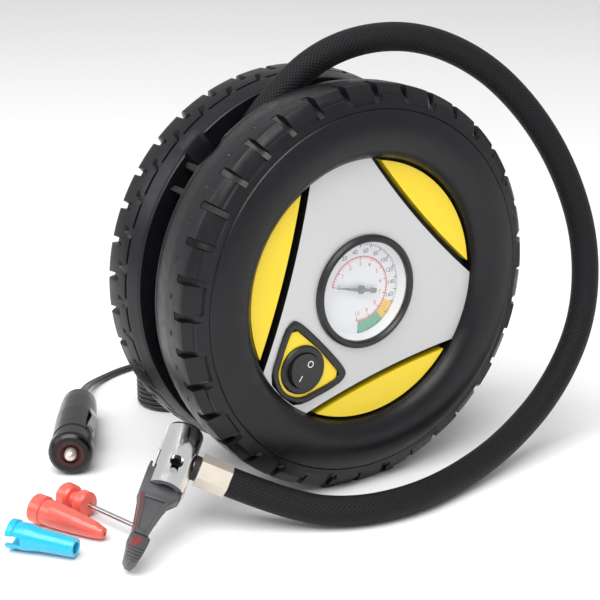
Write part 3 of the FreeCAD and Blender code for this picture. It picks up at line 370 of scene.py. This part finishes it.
def sweep(bm, path, section, level=False):
    """A closed section along a path, unwrapped in metres. Level keeps its first axis horizontal."""
    uv_layer = bm.loops.layers.uv.verify()
    rings = []
    reach = [0.0]
    wide = None
    for place, point in enumerate(path):
        ahead = path[min(place + 1, len(path) - 1)] - path[max(place - 1, 0)]
        ahead.normalize()
        if level:
            wide = Vector((0, 0, 1)).cross(ahead).normalized()
        elif wide is None:
            wide = ahead.cross(Vector((0, 0, 1))).normalized()
        else:
            wide = (wide - ahead * wide.dot(ahead)).normalized()
        thin = ahead.cross(wide)
        rings.append([bm.verts.new(point + wide * a * MM + thin * b * MM) for a, b in section])
        if place:
            reach.append(reach[-1] + (point - path[place - 1]).length)
    count = len(section)
    around = [0.0]
    for k in range(count):
        around.append(around[-1] + math.dist(section[k], section[(k + 1) % count]) * MM)
    for place, (first, second) in enumerate(zip(rings, rings[1:])):
        for k in range(count):
            after = (k + 1) % count
            face = bm.faces.new((first[k], first[after], second[after], second[k]))
            corners = ((place, k), (place, k + 1), (place + 1, k + 1), (place + 1, k))
            for loop, (row, column) in zip(face.loops, corners):
                loop[uv_layer].uv = (reach[row], around[column])
    bm.faces.new(rings[0])
    bm.faces.new(rings[-1])


CHUCK_CENTRE = Vector((-93.2, -12.4, 31.2))
CHUCK_X, CHUCK_Y, CHUCK_Z = square_axes(Vector((0.656, 0.562, 0.505)), Vector((0.752, -0.520, -0.400)))
CHUCK_TAIL = 24.5
HOSE_RADIUS, HOSE_SIDES = 6.5, 36
HOSE_ROUTE = [
    (-36, 17.75, 160.5), (-19, 17.3, 180.4), (9, 13.5, 197), (44, 7, 199), (77, -1, 185),
    (103, -8.5, 160), (121, -16, 129), (130, -23, 94), (124, -30, 58), (100, -37, 30),
    (67, -44, 13), (32, -52, 6.6), (-2, -59, 6.6), (-30, -54.5, 6.6), (-52, -41, 9.4),
    tuple(CHUCK_CENTRE + CHUCK_X * CHUCK_TAIL),
]
hose_path = route(HOSE_ROUTE)
hose_mesh = bmesh.new()
sweep(hose_mesh, hose_path, circle(HOSE_RADIUS, HOSE_SIDES))
hose = mesh_piece("air_hose_braided", hose_mesh, braid.material, "housing")
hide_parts("air_hose")

PLUG_NOSE = Vector((-109.8, 60.4, 10.6))
PLUG_X, PLUG_Y, PLUG_Z = square_axes(Vector((0.480, 0.877, -0.015)), Vector((0.718, -0.393, 0.574)))
PLUG_LENGTH = 77.0

# the tied hank lies behind the wheel: two round ends, two turns side by side, six layers down
HANK_MIDDLE = 118.0
HANK_LEFT, HANK_RIGHT = -25.0, 47.0
HANK_OUTER, HANK_INNER = 17.8, 13.3
HANK_TOP, HANK_STEP, HANK_LAYERS = 14.2, 2.5, 6


def hank_point(end, bearing, radius, height):
    turn = math.radians(bearing)
    return (end + radius * math.cos(turn), HANK_MIDDLE + radius * math.sin(turn), height)


def hank_turns():
    """The folded length: turns beside and on each other, down from the top layer."""
    points = []
    for layer in range(HANK_LAYERS):
        height = HANK_TOP - HANK_STEP * layer
        first, second = (HANK_OUTER, HANK_INNER) if layer % 2 == 0 else (HANK_INNER, HANK_OUTER)
        for radius, last in ((first, False), (second, True)):
            for bearing in (0, 45, 90):
                points.append(hank_point(HANK_RIGHT, bearing, radius, height))
            points.append(((HANK_LEFT + HANK_RIGHT) / 2, HANK_MIDDLE + radius, height))
            for bearing in (90, 135, 180, 225, 270):
                points.append(hank_point(HANK_LEFT, bearing, radius, height))
            if last and layer < HANK_LAYERS - 1:
                height -= HANK_STEP
            points.append(((HANK_LEFT + HANK_RIGHT) / 2, HANK_MIDDLE - radius, height))
            for bearing in (270, 315):
                points.append(hank_point(HANK_RIGHT, bearing, second, height))
    return points


CORD_ROUTE = [(42.42, 75.5, 41.44), (43.0, 88.0, 38.5), (48.5, 94.0, 26.0), (58.0, 99.0, 15.0)]
CORD_ROUTE += hank_turns()
CORD_ROUTE += [(64.0, 122.0, 1.5), (60.0, 137.0, 1.5), (46.0, 149.0, 1.5), (26.0, 159.0, 1.5),
               (2.0, 169.0, 1.5), (-24.0, 171.0, 1.5), (-47.0, 162.0, 1.5), (-62.0, 147.0, 5.4),
               tuple(PLUG_NOSE + PLUG_Y * PLUG_LENGTH)]
# the twin cord's section: each core shows the arc away from the other
CORE_OFFSET, CORE_RADIUS, CORE_STEP = 1.0, 1.2, 34.0
cord_path = route(CORD_ROUTE)
twin_section = []
for side in (1.0, -1.0):
    for k in range(-4, 5):
        turn = math.radians(k * CORE_STEP)
        twin_section.append((side * (CORE_OFFSET + CORE_RADIUS * math.cos(turn)),
                             side * CORE_RADIUS * math.sin(turn)))
cord_mesh = bmesh.new()
sweep(cord_mesh, cord_path, twin_section, level=True)
cord = mesh_piece("power_cord_twin", cord_mesh, cord_black.material, "housing", 60.0)
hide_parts("power_cord", "power_cord_rear", "cord_hank")

# the dark red moulding round the plug's tip, a thin skin on the ring's own face: radius and depth
PLUG_SKIN = [(3.0, 2.85), (4.4, 2.2), (4.62, 0.7), (6.3, 0.1),
             (6.5, 0.3), (4.9, 0.95), (4.65, 2.5), (3.0, 3.1)]
SKIN_STEPS = 48
skin_bm = bmesh.new()
skin_rows = []
for across, up in circle(1.0, SKIN_STEPS):
    outwards = PLUG_X * across + PLUG_Z * up
    skin_rows.append([skin_bm.verts.new((PLUG_NOSE + PLUG_Y * depth + outwards * radius) * MM)
                      for radius, depth in PLUG_SKIN])
join_rows(skin_bm, skin_rows, ring=True)
plug_skin = mesh_piece("plug_red_face", skin_bm, plug_red.material, "housing")

# ------------------------------------------------------------------ chuck lever


def on_chuck(x, y, z):
    return (CHUCK_CENTRE + CHUCK_X * x + CHUCK_Y * y + CHUCK_Z * z) * MM


def prism(bm, outline, low, high, place=on_chuck, edge=0.3):
    """A slab with rounded edges, from low to high along the third direction of place."""
    floor_ring = [bm.verts.new(place(x, y, low)) for x, y in outline]
    top_ring = [bm.verts.new(place(x, y, high)) for x, y in outline]
    faces = [bm.faces.new(floor_ring), bm.faces.new(top_ring)]
    for k in range(len(outline)):
        after = (k + 1) % len(outline)
        faces.append(bm.faces.new((floor_ring[k], floor_ring[after], top_ring[after], top_ring[k])))
    if edge:
        rims = [side for face in faces[:2] for side in face.edges]
        bmesh.ops.bevel(bm, geom=rims, offset=edge * MM, segments=2, profile=0.6, affect="EDGES")


# the lever's slabs on the chuck: outline, low and high
RIM_LOW, RIM_HIGH = 3.4, 4.4
LEVER_SLABS = [
    # the root round the pin
    ([(-3.2, -6.8), (0.0, -5.8), (3.2, -6.8), (4.4, -10.0), (4.4, -16.6), (7.4, -17.2), (7.4, -19.2),
      (3.6, -22.6), (2.4, -25.0), (-8.2, -25.0), (-10.0, -22.0), (-10.0, -6.2), (-8.9, -6.2),
      (-8.9, -9.0), (-4.4, -9.0)], -3.0, 3.0),
    # the plate, then the rims round its recess
    ([(-9.6, -22.0), (4.6, -21.0), (2.6, -25.0), (-0.6, -41.0), (-6.4, -41.0), (-8.4, -25.0)],
     -4.4, 3.7),
    ([(-9.6, -22.0), (4.6, -21.0), (3.9, -23.4), (-8.6, -24.2)], RIM_LOW, RIM_HIGH),
    ([(3.9, -22.4), (2.6, -25.0), (-0.6, -41.0), (-2.1, -41.0), (0.9, -25.0), (1.6, -22.8)],
     RIM_LOW, RIM_HIGH),
    ([(-9.3, -22.6), (-7.4, -22.8), (-6.6, -26.0), (-5.0, -41.0), (-6.4, -41.0), (-8.4, -25.0)],
     RIM_LOW, RIM_HIGH),
    ([(-5.6, -38.6), (-1.4, -38.6), (-1.2, -41.0), (-6.0, -41.0)], RIM_LOW, RIM_HIGH),
    # the thumb pad
    ([(-6.2, -40.0), (-0.6, -40.0), (1.2, -41.6), (0.8, -46.0), (-0.4, -51.4), (-2.0, -54.2),
      (-4.2, -54.0), (-5.9, -52.0), (-7.4, -41.8)], -4.4, 3.5),
]
# the thumb pad's ribs, shorter towards its end
GRIP_RIBS, GRIP_START, GRIP_STEP, GRIP_WIDTH = 5, -46.4, 1.5, 0.8
GRIP_LOW, GRIP_HIGH, GRIP_EDGE = 3.2, 3.9, 0.15
lever_bm = bmesh.new()
for outline, low, high in LEVER_SLABS:
    prism(lever_bm, outline, low, high)
for number in range(GRIP_RIBS):
    reach = GRIP_START - GRIP_STEP * number
    wide = 0.5 + 0.33 * number
    prism(lever_bm, [(-6.9 + 0.2 * number, reach), (0.9 - wide, reach),
                     (0.8 - wide, reach - GRIP_WIDTH),
                     (-6.8 + 0.2 * number, reach - GRIP_WIDTH)], GRIP_LOW, GRIP_HIGH, edge=GRIP_EDGE)
lever = mesh_piece("lever_moulding", lever_bm, lever_grey.material, "lever")
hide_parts("chuck_lever")
STRIPE = [(-9.0, -22.9), (-8.1, -22.9), (-7.6, -26.0), (-6.0, -40.4), (-6.7, -40.4), (-8.2, -26.0)]
ARROW = [(-5.6, -42.6), (-2.4, -42.0), (-2.0, -43.6), (-4.2, -47.6), (-6.0, -48.0)]
stripe = bmesh.new()
prism(stripe, STRIPE, 4.3, 4.5, edge=0)
prism(stripe, ARROW, 3.4, 3.62, edge=0)
mesh_piece("lever_red_marks", stripe, lever_red.material, "lever")

# ------------------------------------------------------------------ tyre halves

PITCHES = 36
PITCH = 360.0 / PITCHES
FRONT_PHASE = 7.4
REAR_PHASE = 0.0


def smooth_run(points, pieces):
    """Points on a smooth curve through the given ones, the given ones among them."""
    out = []
    for place in range(len(points) - 1):
        before = points[max(place - 1, 0)]
        start, end = points[place], points[place + 1]
        after = points[min(place + 2, len(points) - 1)]
        out += [curve_point(before, start, end, after, step / pieces) for step in range(pieces)]
    out.append(points[-1])
    return out


def spin_mesh(name, columns, profile_at, material, replaced, smooth=32.0):
    """A closed ring. profile_at(bearing) gives its section there, always with as many points."""
    bm = bmesh.new()
    rings = []
    for bearing in columns:
        rings.append([bm.verts.new(wheel_point(radius, depth, bearing))
                      for radius, depth in profile_at(bearing)])
    join_rows(bm, rings, ring=True)
    piece = mesh_piece(name, bm, material, "housing", smooth)
    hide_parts(replaced)


def columns_of(phase, shares):
    """The bearings of a half's sections: the same shares of a pitch, all round."""
    return [phase + PITCH * number + share for number in range(PITCHES) for share in shares]


def ramp(value, start, end):
    """0 at start, 1 at end, straight between."""
    return min(1.0, max(0.0, (value - start) / (end - start)))


def blend_points(first, second, share):
    return [(a[0] + (b[0] - a[0]) * share, a[1] + (b[1] - a[1]) * share)
            for a, b in zip(first, second)]


# sections of the front half, as radius and depth behind the face
FRONT_WALL = smooth_run([(60.0, 0.0), (61.5, -3.0), (65.0, -5.8), (71.0, -7.0), (77.0, -6.4),
                         (81.2, -5.0)], 4)
MOULDING_LINE = [(81.5, -4.55), (81.75, -4.25), (82.0, -4.5), (82.4, -4.35)]
FRONT_INSIDE = [(61.5, 30.6), (61.5, 28.2), (83.0, 28.2), (87.0, 17.0), (87.0, 6.0), (84.0, 1.6),
                (79.0, -1.6), (71.0, -4.2), (66.0, -3.0), (62.4, 0.6), (62.4, 9.0), (60.0, 9.0)]
FRONT_TREAD = ([(92.0, 7.4), (92.0, 9.4), (92.0, 9.8), (91.99, 10.2), (91.97, 10.6), (91.94, 11.0)]
               + smooth_run([(91.9, 12.0), (91.8, 15.0), (91.4, 18.0), (90.4, 24.0), (89.0, 28.4)], 2)
               + [(88.6, 28.8), (88.35, 29.15), (88.7, 29.5), (88.65, 30.2), (88.2, 30.6)])


def front_shoulder(kind):
    """The part of the front section that changes round the wheel: a rib, or a long or short lug."""
    if kind == "rib":
        return [(84.2, -3.95), (84.6, -3.85), (85.2, -3.2), (86.2, -2.0), (86.8, -0.8), (87.4, 1.2),
                (88.2, 3.6), (89.8, 6.0), (91.6, 7.6)]
    inner = 84.0 if kind == "long" else 87.4
    drop = -4.0 if kind == "long" else -2.95
    return [(inner, drop), (inner + 0.35, drop + 1.9), (inner + 1.2, drop + 2.2), (89.6, 0.35),
            (91.2, 1.5), (91.65, 1.9), (91.9, 2.9), (91.97, 4.8), (92.0, 6.8)]


SHOULDERS = {kind: front_shoulder(kind) for kind in ("rib", "long", "short")}
RIB_EDGE = (0.85, 1.1)  # degrees from a rib's middle between which it turns into a lug
# the small pit between ribs: its bearing within a pitch, its soft edge, and the depths it spans
PIT_DEPTH, PIT_MIDDLE, PIT_EDGE = 0.7, 5.3, (0.35, 0.75)
PIT_START, PIT_SHALLOWS, PIT_END, PIT_SHARE = 9.7, 10.5, 10.9, 0.6
# the finger notch draws the channel's edges apart: past this depth, by so much of a length
FINGER_MIDDLE = 132.0
FRONT_DRAW_FROM, FRONT_DRAW, FRONT_DRAW_LENGTH, FRONT_FINGER = 18.0, 4.8, 12.6, (1.6, 5.4)
REAR_DRAW_FROM, REAR_DRAW, REAR_DRAW_LENGTH, REAR_FINGER = 52.0, 2.2, 7.1, (2.6, 4.6)
FRONT_FLARE, FLARE_ROWS = 1.2, (20.0, 26.0)


def finger_share(bearing, inner, outer):
    """How far the finger notch in a channel edge is open at a bearing."""
    away = abs((bearing - FINGER_MIDDLE + 180.0) % 360.0 - 180.0)
    return 1.0 - ramp(away, inner, outer)


def front_section(bearing):
    turned = (bearing - FRONT_PHASE) % PITCH
    number = int(((bearing - FRONT_PHASE) % 360.0) // PITCH)
    kind = "long" if number % 2 == 0 else "short"
    from_rib = min(turned, PITCH - turned)
    shoulder = blend_points(SHOULDERS["rib"], SHOULDERS[kind], ramp(from_rib, *RIB_EDGE))
    section = FRONT_WALL + MOULDING_LINE + shoulder
    pit = PIT_DEPTH * (1.0 - ramp(abs(turned - PIT_MIDDLE), *PIT_EDGE))
    opening = finger_share(bearing, *FRONT_FINGER)
    for radius, depth in FRONT_TREAD:
        if PIT_START < depth < PIT_END:
            radius -= pit * (1.0 if depth < PIT_SHALLOWS else PIT_SHARE)
        if depth > FRONT_DRAW_FROM and opening:
            kept = 1.0 - opening * FRONT_DRAW / FRONT_DRAW_LENGTH
            depth = FRONT_DRAW_FROM + (depth - FRONT_DRAW_FROM) * kept
            radius += FRONT_FLARE * opening * ramp(depth, *FLARE_ROWS)
        section.append((radius, depth))
    return section + FRONT_INSIDE


RIB_SHARES = [-1.12, -0.82, -0.4, 0.0, 0.4, 0.82, 1.12]
FRONT_SHARES = RIB_SHARES + [1.8, 2.8, 3.8, 4.5, 4.95, 5.3, 5.65, 6.1, 7.0, 8.0, 8.6]
spin_mesh("front_tyre_half", columns_of(FRONT_PHASE, FRONT_SHARES), front_section, tyre.material,
          "front_tyre_shell")

# sections of the rear half
REAR_EDGE = [(88.2, 44.9), (88.6, 45.3), (88.75, 45.9), (88.65, 46.15), (88.3, 46.35), (88.75, 46.6)]
REAR_BAND = [(89.2, 48.0), (90.0, 50.6), (90.6, 52.6), (90.7, 53.1), (90.75, 53.4), (90.85, 54.3),
             (90.9, 54.6), (91.1, 55.4), (91.3, 56.4), (91.4, 57.0), (91.45, 57.3), (91.5, 57.7),
             (91.6, 58.4), (91.65, 58.8), (91.75, 59.6), (91.8, 60.0), (91.85, 60.4), (91.95, 62.0),
             (92.0, 64.0), (92.0, 66.6)]
REAR_WALL = smooth_run([(91.9, 67.6), (91.0, 69.2), (88.0, 71.4), (84.0, 73.3), (80.0, 74.5),
                        (74.0, 75.3), (68.0, 75.0), (62.0, 72.9)], 3)
REAR_INSIDE = [(61.0, 72.5), (50.5, 72.5), (47.0, 71.5), (47.0, 69.0), (61.0, 70.1), (70.0, 72.6),
               (80.0, 71.8), (85.5, 68.6), (87.0, 62.0), (84.3, 47.3), (61.6, 47.3), (61.6, 44.9)]

# cuts in the rear tread: how deep, the depths behind the face they span, and bearings in a pitch
SIPE_DEPTH, NOTCH_DEPTH, WALL_NOTCH_DEPTH = 1.5, 2.5, 1.1
SIPE_START, SIPE_END, HOOK_END = 53.2, 54.4, 59.2
SIPE_SPLIT, SIPE_RESUMES = 2.0, (3.05, 3.35)
HOOK_BEARING, HOOK_LEAN, HOOK_WIDENS = 3.25, 0.42, 57.2
HOOK_NARROW, HOOK_WIDE, HOOK_EDGE = 0.45, 0.75, 0.15
NOTCH_ROWS, NOTCH_BEARING, NOTCH_LEAN, NOTCH_LEANS_FROM = (59.8, 60.3), 5.6, 0.05, 60.0
WALL_NOTCH_BEARING, WALL_FADE, WALL_DEEPENS = 5.95, (84.5, 88.5), (86.0, 90.0)
CUT_EDGE = (0.75, 1.05)  # degrees from a cut's middle between which it comes up to the tread


def rear_depth(turned, depth):
    """How deep the rear tread is cut: a sipe, its hook, and the notch between blocks."""
    if SIPE_START <= depth <= SIPE_END:
        if turned > SIPE_SPLIT:
            return SIPE_DEPTH * ramp(turned, *SIPE_RESUMES)
        return SIPE_DEPTH * (1.0 - ramp(turned, *CUT_EDGE))
    if SIPE_END < depth < HOOK_END:
        middle = HOOK_BEARING - (depth - SIPE_END) * HOOK_LEAN
        reach = HOOK_NARROW if depth < HOOK_WIDENS else HOOK_WIDE
        away = abs(turned - middle)
        return SIPE_DEPTH * (1.0 - ramp(away, reach - HOOK_EDGE, reach + HOOK_EDGE))
    if depth > NOTCH_ROWS[0]:
        middle = NOTCH_BEARING + (depth - NOTCH_LEANS_FROM) * NOTCH_LEAN
        cut = 1.0 - ramp(abs(turned - middle), *CUT_EDGE)
        return NOTCH_DEPTH * cut * ramp(depth, *NOTCH_ROWS)
    return 0.0


def rear_section(bearing):
    turned = (bearing - REAR_PHASE) % PITCH
    opening = finger_share(bearing, *REAR_FINGER)
    section = []
    for radius, depth in REAR_EDGE + REAR_BAND:
        if depth < REAR_DRAW_FROM and opening:
            kept = 1.0 - opening * REAR_DRAW / REAR_DRAW_LENGTH
            depth = REAR_DRAW_FROM - (REAR_DRAW_FROM - depth) * kept
        section.append((radius - rear_depth(turned, depth), depth))
    notch = 1.0 - ramp(abs(turned - WALL_NOTCH_BEARING), *CUT_EDGE)
    for radius, depth in REAR_WALL:
        fade = ramp(radius, *WALL_FADE)
        section.append((radius - NOTCH_DEPTH * notch * fade * ramp(radius, *WALL_DEEPENS),
                        depth - WALL_NOTCH_DEPTH * notch * fade))
    return section + REAR_INSIDE


REAR_SHARES = [0.0, 0.45, 0.75, 1.05, 1.4, 1.7, 2.0, 2.3, 2.6, 2.9, 3.05, 3.35, 3.7, 4.3, 4.55, 4.85,
               5.2, 5.6, 6.0, 6.4, 6.7, 7.0, 7.6, 8.4, 9.2]
spin_mesh("rear_tyre_half", columns_of(REAR_PHASE, REAR_SHARES), rear_section, tyre.material,
          "rear_tyre_shell")

FOOT_HALF, FOOT_STEPS, FOOT_EDGE = 20.0, 12, 0.8
FOOT_TOP = 91.0


def foot(name, near, far):
    """The flat pad that lets the round tread stand without rolling."""
    bm = bmesh.new()
    sides = []
    for depth in (near, near + FOOT_EDGE, far - FOOT_EDGE, far):
        inset = FOOT_EDGE if depth in (near, far) else 0.0
        spread = [(-FOOT_HALF + inset) + (2 * FOOT_HALF - 2 * inset) * k / FOOT_STEPS
                  for k in range(FOOT_STEPS + 1)]
        ring = []
        for x in spread:
            lift = 0.5 if abs(x) > FOOT_HALF - 1.0 else 0.0
            ring.append(on_face(x, -WHEEL_RADIUS + lift + inset * 0.3, depth))
        for x in reversed(spread):
            ring.append(on_face(x, -math.sqrt(FOOT_TOP ** 2 - x * x) + 1.0, depth))
        sides.append([bm.verts.new(spot) for spot in ring])
    join_rows(bm, sides)
    mesh_piece(name, bm, tyre.material, "housing")


foot("front_foot", 3.2, 19.8)
foot("rear_foot", 50.9, 67.5)

# ------------------------------------------------------------------ dial

# depths behind the face: the dial card's front, and the ink just above it
DIAL_FACE = 4.6
INK_FACE = DIAL_FACE - 0.04
INK_THICK, SECTOR_THICK = 0.06, 0.03
ARC_STEP = 3.0
ZERO_BEARING = 168.0


def arc_band(bm, inner, outer, start, end, depth=INK_FACE, thick=INK_THICK):
    """A thin raised band on the dial, between two bearings."""
    steps = max(1, int(abs(end - start) / ARC_STEP))
    rings = []
    for k in range(steps + 1):
        turn = math.radians(start + (end - start) * k / steps)
        across = []
        for radius, level in ((inner, depth), (outer, depth), (outer, depth - thick),
                              (inner, depth - thick)):
            spot = on_face(radius * math.cos(turn), radius * math.sin(turn), level)
            across.append(bm.verts.new(spot))
        rings.append(across)
    join_rows(bm, rings)


def ticks(bm, inner, outer, start, step, count, width):
    """Marks on a scale, clockwise from a bearing, with a width at their outer end in mm."""
    spread = math.degrees(width / 2.0 / outer)
    for k in range(count):
        bearing = start - step * k
        arc_band(bm, inner, outer, bearing - spread, bearing + spread)


def numbers(bm, labels, size, radius, start, step):
    """Numbers along a scale, clockwise from a bearing, as thin raised shapes."""
    for k, label in enumerate(labels):
        turn = math.radians(start - step * k)
        curve = bpy.data.curves.new("lettering", "FONT")
        curve.body = label
        curve.size = size * MM
        curve.align_x = "CENTER"
        curve.align_y = "CENTER"
        curve.extrude = INK_THICK / 2.0 * MM
        curve.resolution_u = 3
        holder = link("lettering", curve)
        bpy.context.view_layer.update()
        shape = bpy.data.meshes.new_from_object(holder)
        place = on_face(radius * math.cos(turn), radius * math.sin(turn), INK_FACE)
        shape.transform(Matrix.Translation(place) @ Matrix.Rotation(math.radians(90.0), 4, "X"))
        bm.from_mesh(shape)
        bpy.data.objects.remove(holder)
        bpy.data.meshes.remove(shape)


RED_STEP, RED_FINE = 26.4, 5.28
red_bm = bmesh.new()
arc_band(red_bm, 14.75, 15.2, ZERO_BEARING, -96.0)
ticks(red_bm, 13.4, 14.85, ZERO_BEARING, RED_STEP, 11, 0.5)
ticks(red_bm, 14.0, 14.85, ZERO_BEARING, RED_FINE, 51, 0.34)
numbers(red_bm, [str(k) for k in range(11)], 2.8, 11.6, ZERO_BEARING, RED_STEP)
mesh_piece("dial_scale_red", red_bm, dial_red.material, "housing")

GREY_START, GREY_STEP, GREY_FINE = 105.0, 16.4, 3.28
GREY_NUMBERS_START, GREY_NUMBERS_STEP = 118.0, 19.5
grey_bm = bmesh.new()
arc_band(grey_bm, 20.9, 21.1, GREY_START, -92.0)
ticks(grey_bm, 19.2, 20.95, GREY_START, GREY_STEP, 13, 0.55)
ticks(grey_bm, 20.0, 20.95, GREY_START, GREY_FINE, 61, 0.32)
numbers(grey_bm, [str(k) for k in range(20, 161, 20)], 2.9, 17.4, GREY_NUMBERS_START,
        GREY_NUMBERS_STEP)
mesh_piece("dial_scale_grey", grey_bm, dial_grey.material, "housing")

for name, finish, start, end in (("dial_sector_orange", dial_orange, -27.0, -52.0),
                                 ("dial_sector_green", dial_green, -52.0, -93.0)):
    sector = bmesh.new()
    arc_band(sector, 15.3, 20.8, start, end, DIAL_FACE, SECTOR_THICK)
    mesh_piece(name, sector, finish.material, "housing")

# one side of the needle, as a distance towards its point and a half width
NEEDLE_SIDE = [(13.6, 0.12), (2.0, 0.85), (0.9, 1.9), (-0.9, 1.9), (-2.0, 0.75), (-4.6, 0.6),
               (-5.6, 1.25), (-8.4, 1.05)]
NEEDLE_LEVELS = (2.7, 3.2)
HUB_LEVEL = 2.3
outline = NEEDLE_SIDE + [(a, -b) for a, b in reversed(NEEDLE_SIDE)]
turn = math.radians(ZERO_BEARING)
needle_bm = bmesh.new()
layers = [[needle_bm.verts.new(on_face(a * math.cos(turn) - b * math.sin(turn),
                                       a * math.sin(turn) + b * math.cos(turn), depth))
           for a, b in outline] for depth in NEEDLE_LEVELS]
join_rows(needle_bm, layers)
hub = bmesh.ops.create_cone(needle_bm, cap_ends=True, segments=32, radius1=1.5 * MM, radius2=1.2 * MM,
                            depth=1.0 * MM)
hub_place = Matrix.Translation(on_face(0, 0, HUB_LEVEL)) @ Matrix.Rotation(math.radians(90.0), 4, "X")
bmesh.ops.transform(needle_bm, verts=hub["verts"], matrix=hub_place)
needle_piece = mesh_piece("needle_printed", needle_bm, needle_grey.material, "needle")
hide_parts("gauge_needle")

# ------------------------------------------------------------------ switch

SWITCH_TURN = math.radians(222.0)
SWITCH_RADIUS = 44.8
SWITCH_MIDDLE = (SWITCH_RADIUS * math.cos(SWITCH_TURN), SWITCH_RADIUS * math.sin(SWITCH_TURN))
ROCKER_FACE = -2.0
ROCKER_SLOPE = 2.6 / 9.5


def on_rocker(along, across, lift):
    """A point on the rocker. Along is outwards from the gauge, where the raised half is."""
    height = ROCKER_FACE - lift - (ROCKER_SLOPE * along if along > 0 else 0.0)
    x = SWITCH_MIDDLE[0] + along * math.cos(SWITCH_TURN) - across * math.sin(SWITCH_TURN)
    z = SWITCH_MIDDLE[1] + along * math.sin(SWITCH_TURN) + across * math.cos(SWITCH_TURN)
    return on_face(x, z, height)


def on_switch_frame(along, across, depth):
    """A point on the switch surround. Along is outwards from the gauge's middle."""
    x = along * math.cos(SWITCH_TURN) + across * math.sin(SWITCH_TURN)
    z = along * math.sin(SWITCH_TURN) - across * math.cos(SWITCH_TURN)
    return on_face(x, z, depth)


def rounded(outline, pieces=5):
    """A closed outline with its corners smoothed."""
    count = len(outline)
    out = []
    for k in range(count):
        a, b, c, d = (outline[(k + step) % count] for step in (-1, 0, 1, 2))
        out += [curve_point(a, b, c, d, step / pieces) for step in range(pieces)]
    return out


SURROUND_OUT = [(31.0, -17.0), (30.2, 0.0), (31.0, 17.0), (34.4, 20.6), (41.0, 19.0), (48.5, 15.4),
                (56.0, 10.6), (59.6, 0.0), (56.0, -10.6), (48.5, -15.4), (41.0, -19.0), (34.4, -20.6)]
SURROUND_IN = [(34.2, -15.5), (33.2, 0.0), (34.2, 15.5), (36.6, 17.4), (40.4, 16.2), (47.0, 13.0),
               (54.4, 8.4), (57.4, 0.0), (54.4, -8.4), (47.0, -13.0), (40.4, -16.2), (36.6, -17.4)]
SURROUND_FOOT, SURROUND_EDGE, SURROUND_SHOULDER, SURROUND_TOP = 5.6, -0.5, -0.78, -0.8
SHOULDER_SHARE = 0.12
SURROUND_PLATE = (4.2, 5.5)
surround = bmesh.new()
outer_line, inner_line = rounded(SURROUND_OUT), rounded(SURROUND_IN)
section_at = []
for (ox, oy), (ix, iy) in zip(outer_line, inner_line):
    middle = ((ox + ix) / 2.0, (oy + iy) / 2.0)
    near_out = (ox + (ix - ox) * SHOULDER_SHARE, oy + (iy - oy) * SHOULDER_SHARE)
    near_in = (ix + (ox - ix) * SHOULDER_SHARE, iy + (oy - iy) * SHOULDER_SHARE)
    section_at.append([surround.verts.new(on_switch_frame(*spot)) for spot in (
        (ox, oy, SURROUND_FOOT), (ox, oy, SURROUND_EDGE), (*near_out, SURROUND_SHOULDER),
        (*middle, SURROUND_TOP), (*near_in, SURROUND_SHOULDER), (ix, iy, SURROUND_EDGE),
        (ix, iy, SURROUND_FOOT))])
join_rows(surround, section_at, ring=True)
prism(surround, inner_line, *SURROUND_PLATE, on_switch_frame, 0)
surround_piece = mesh_piece("switch_surround", surround, trim.material, "housing", 50.0)
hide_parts("switch_frame")

# the O on the pressed half and the I on the raised one
INK_SINK, INK_RISE = -0.05, 0.05
RING_STEPS, RING_IN, RING_OUT, RING_MIDDLE = 40, 1.15, 1.55, -3.9
BAR = [(2.5, -0.2), (5.4, -0.2), (5.4, 0.2), (2.5, 0.2)]
marks = bmesh.new()
ring_rows = []
for along, across in circle(1.0, RING_STEPS):
    row = []
    for radius, lift in ((RING_IN, INK_SINK), (RING_OUT, INK_SINK), (RING_OUT, INK_RISE),
                         (RING_IN, INK_RISE)):
        row.append(marks.verts.new(on_rocker(RING_MIDDLE + radius * along, radius * across, lift)))
    ring_rows.append(row)
join_rows(marks, ring_rows, ring=True)
join_rows(marks, [[marks.verts.new(on_rocker(along, across, lift)) for along, across in BAR]
                  for lift in (INK_SINK, INK_RISE)])
mesh_piece("switch_marks", marks, white_ink.material, "rocker")

# ------------------------------------------------------------------ floor and light

FLOOR_DROP = 0.0003  # the floor lies just under the pieces that rest on it
FLOOR_HALF = 6.0
floor_bm = bmesh.new()
bmesh.ops.create_grid(floor_bm, x_segments=8, y_segments=8, size=FLOOR_HALF)
floor_mesh = bpy.data.meshes.new("floor")
floor_bm.to_mesh(floor_mesh)
floor_bm.free()
floor_finish = Finish("floor_white", (0.93, 0.93, 0.93), 0.6)
floor_finish.mottle(2, 0.01)
floor_mesh.materials.append(floor_finish.material)
floor = link("floor", floor_mesh)
floor.location = (0, 0, -FLOOR_DROP)

WORLD_STRENGTH = 0.6
bpy.context.scene.view_settings.view_transform = "Standard"
world = bpy.data.worlds.new("studio")
bpy.context.scene.world = world
world.use_nodes = True
background = world.node_tree.nodes["Background"]
background.inputs["Color"].default_value = (1.0, 1.0, 1.0, 1.0)
background.inputs["Strength"].default_value = WORLD_STRENGTH


def area_light(name, place, aim, size, power):
    """A rectangular light at a place, turned to its aim; metres and watts."""
    data = bpy.data.lights.new(name, "AREA")
    data.shape = "RECTANGLE"
    data.size, data.size_y = size
    data.energy = power
    light = link(name, data)
    light.location = place
    light.rotation_euler = (Vector(aim) - Vector(place)).to_track_quat("-Z", "Y").to_euler()


LIGHT_AIM = (0, 0, 0.08)
area_light("key_light", (-0.75, -0.55, 1.75), LIGHT_AIM, (1.8, 1.6), 43.0)
area_light("fill_light", (-1.5, 0.7, 1.1), LIGHT_AIM, (1.2, 0.9), 7.0)
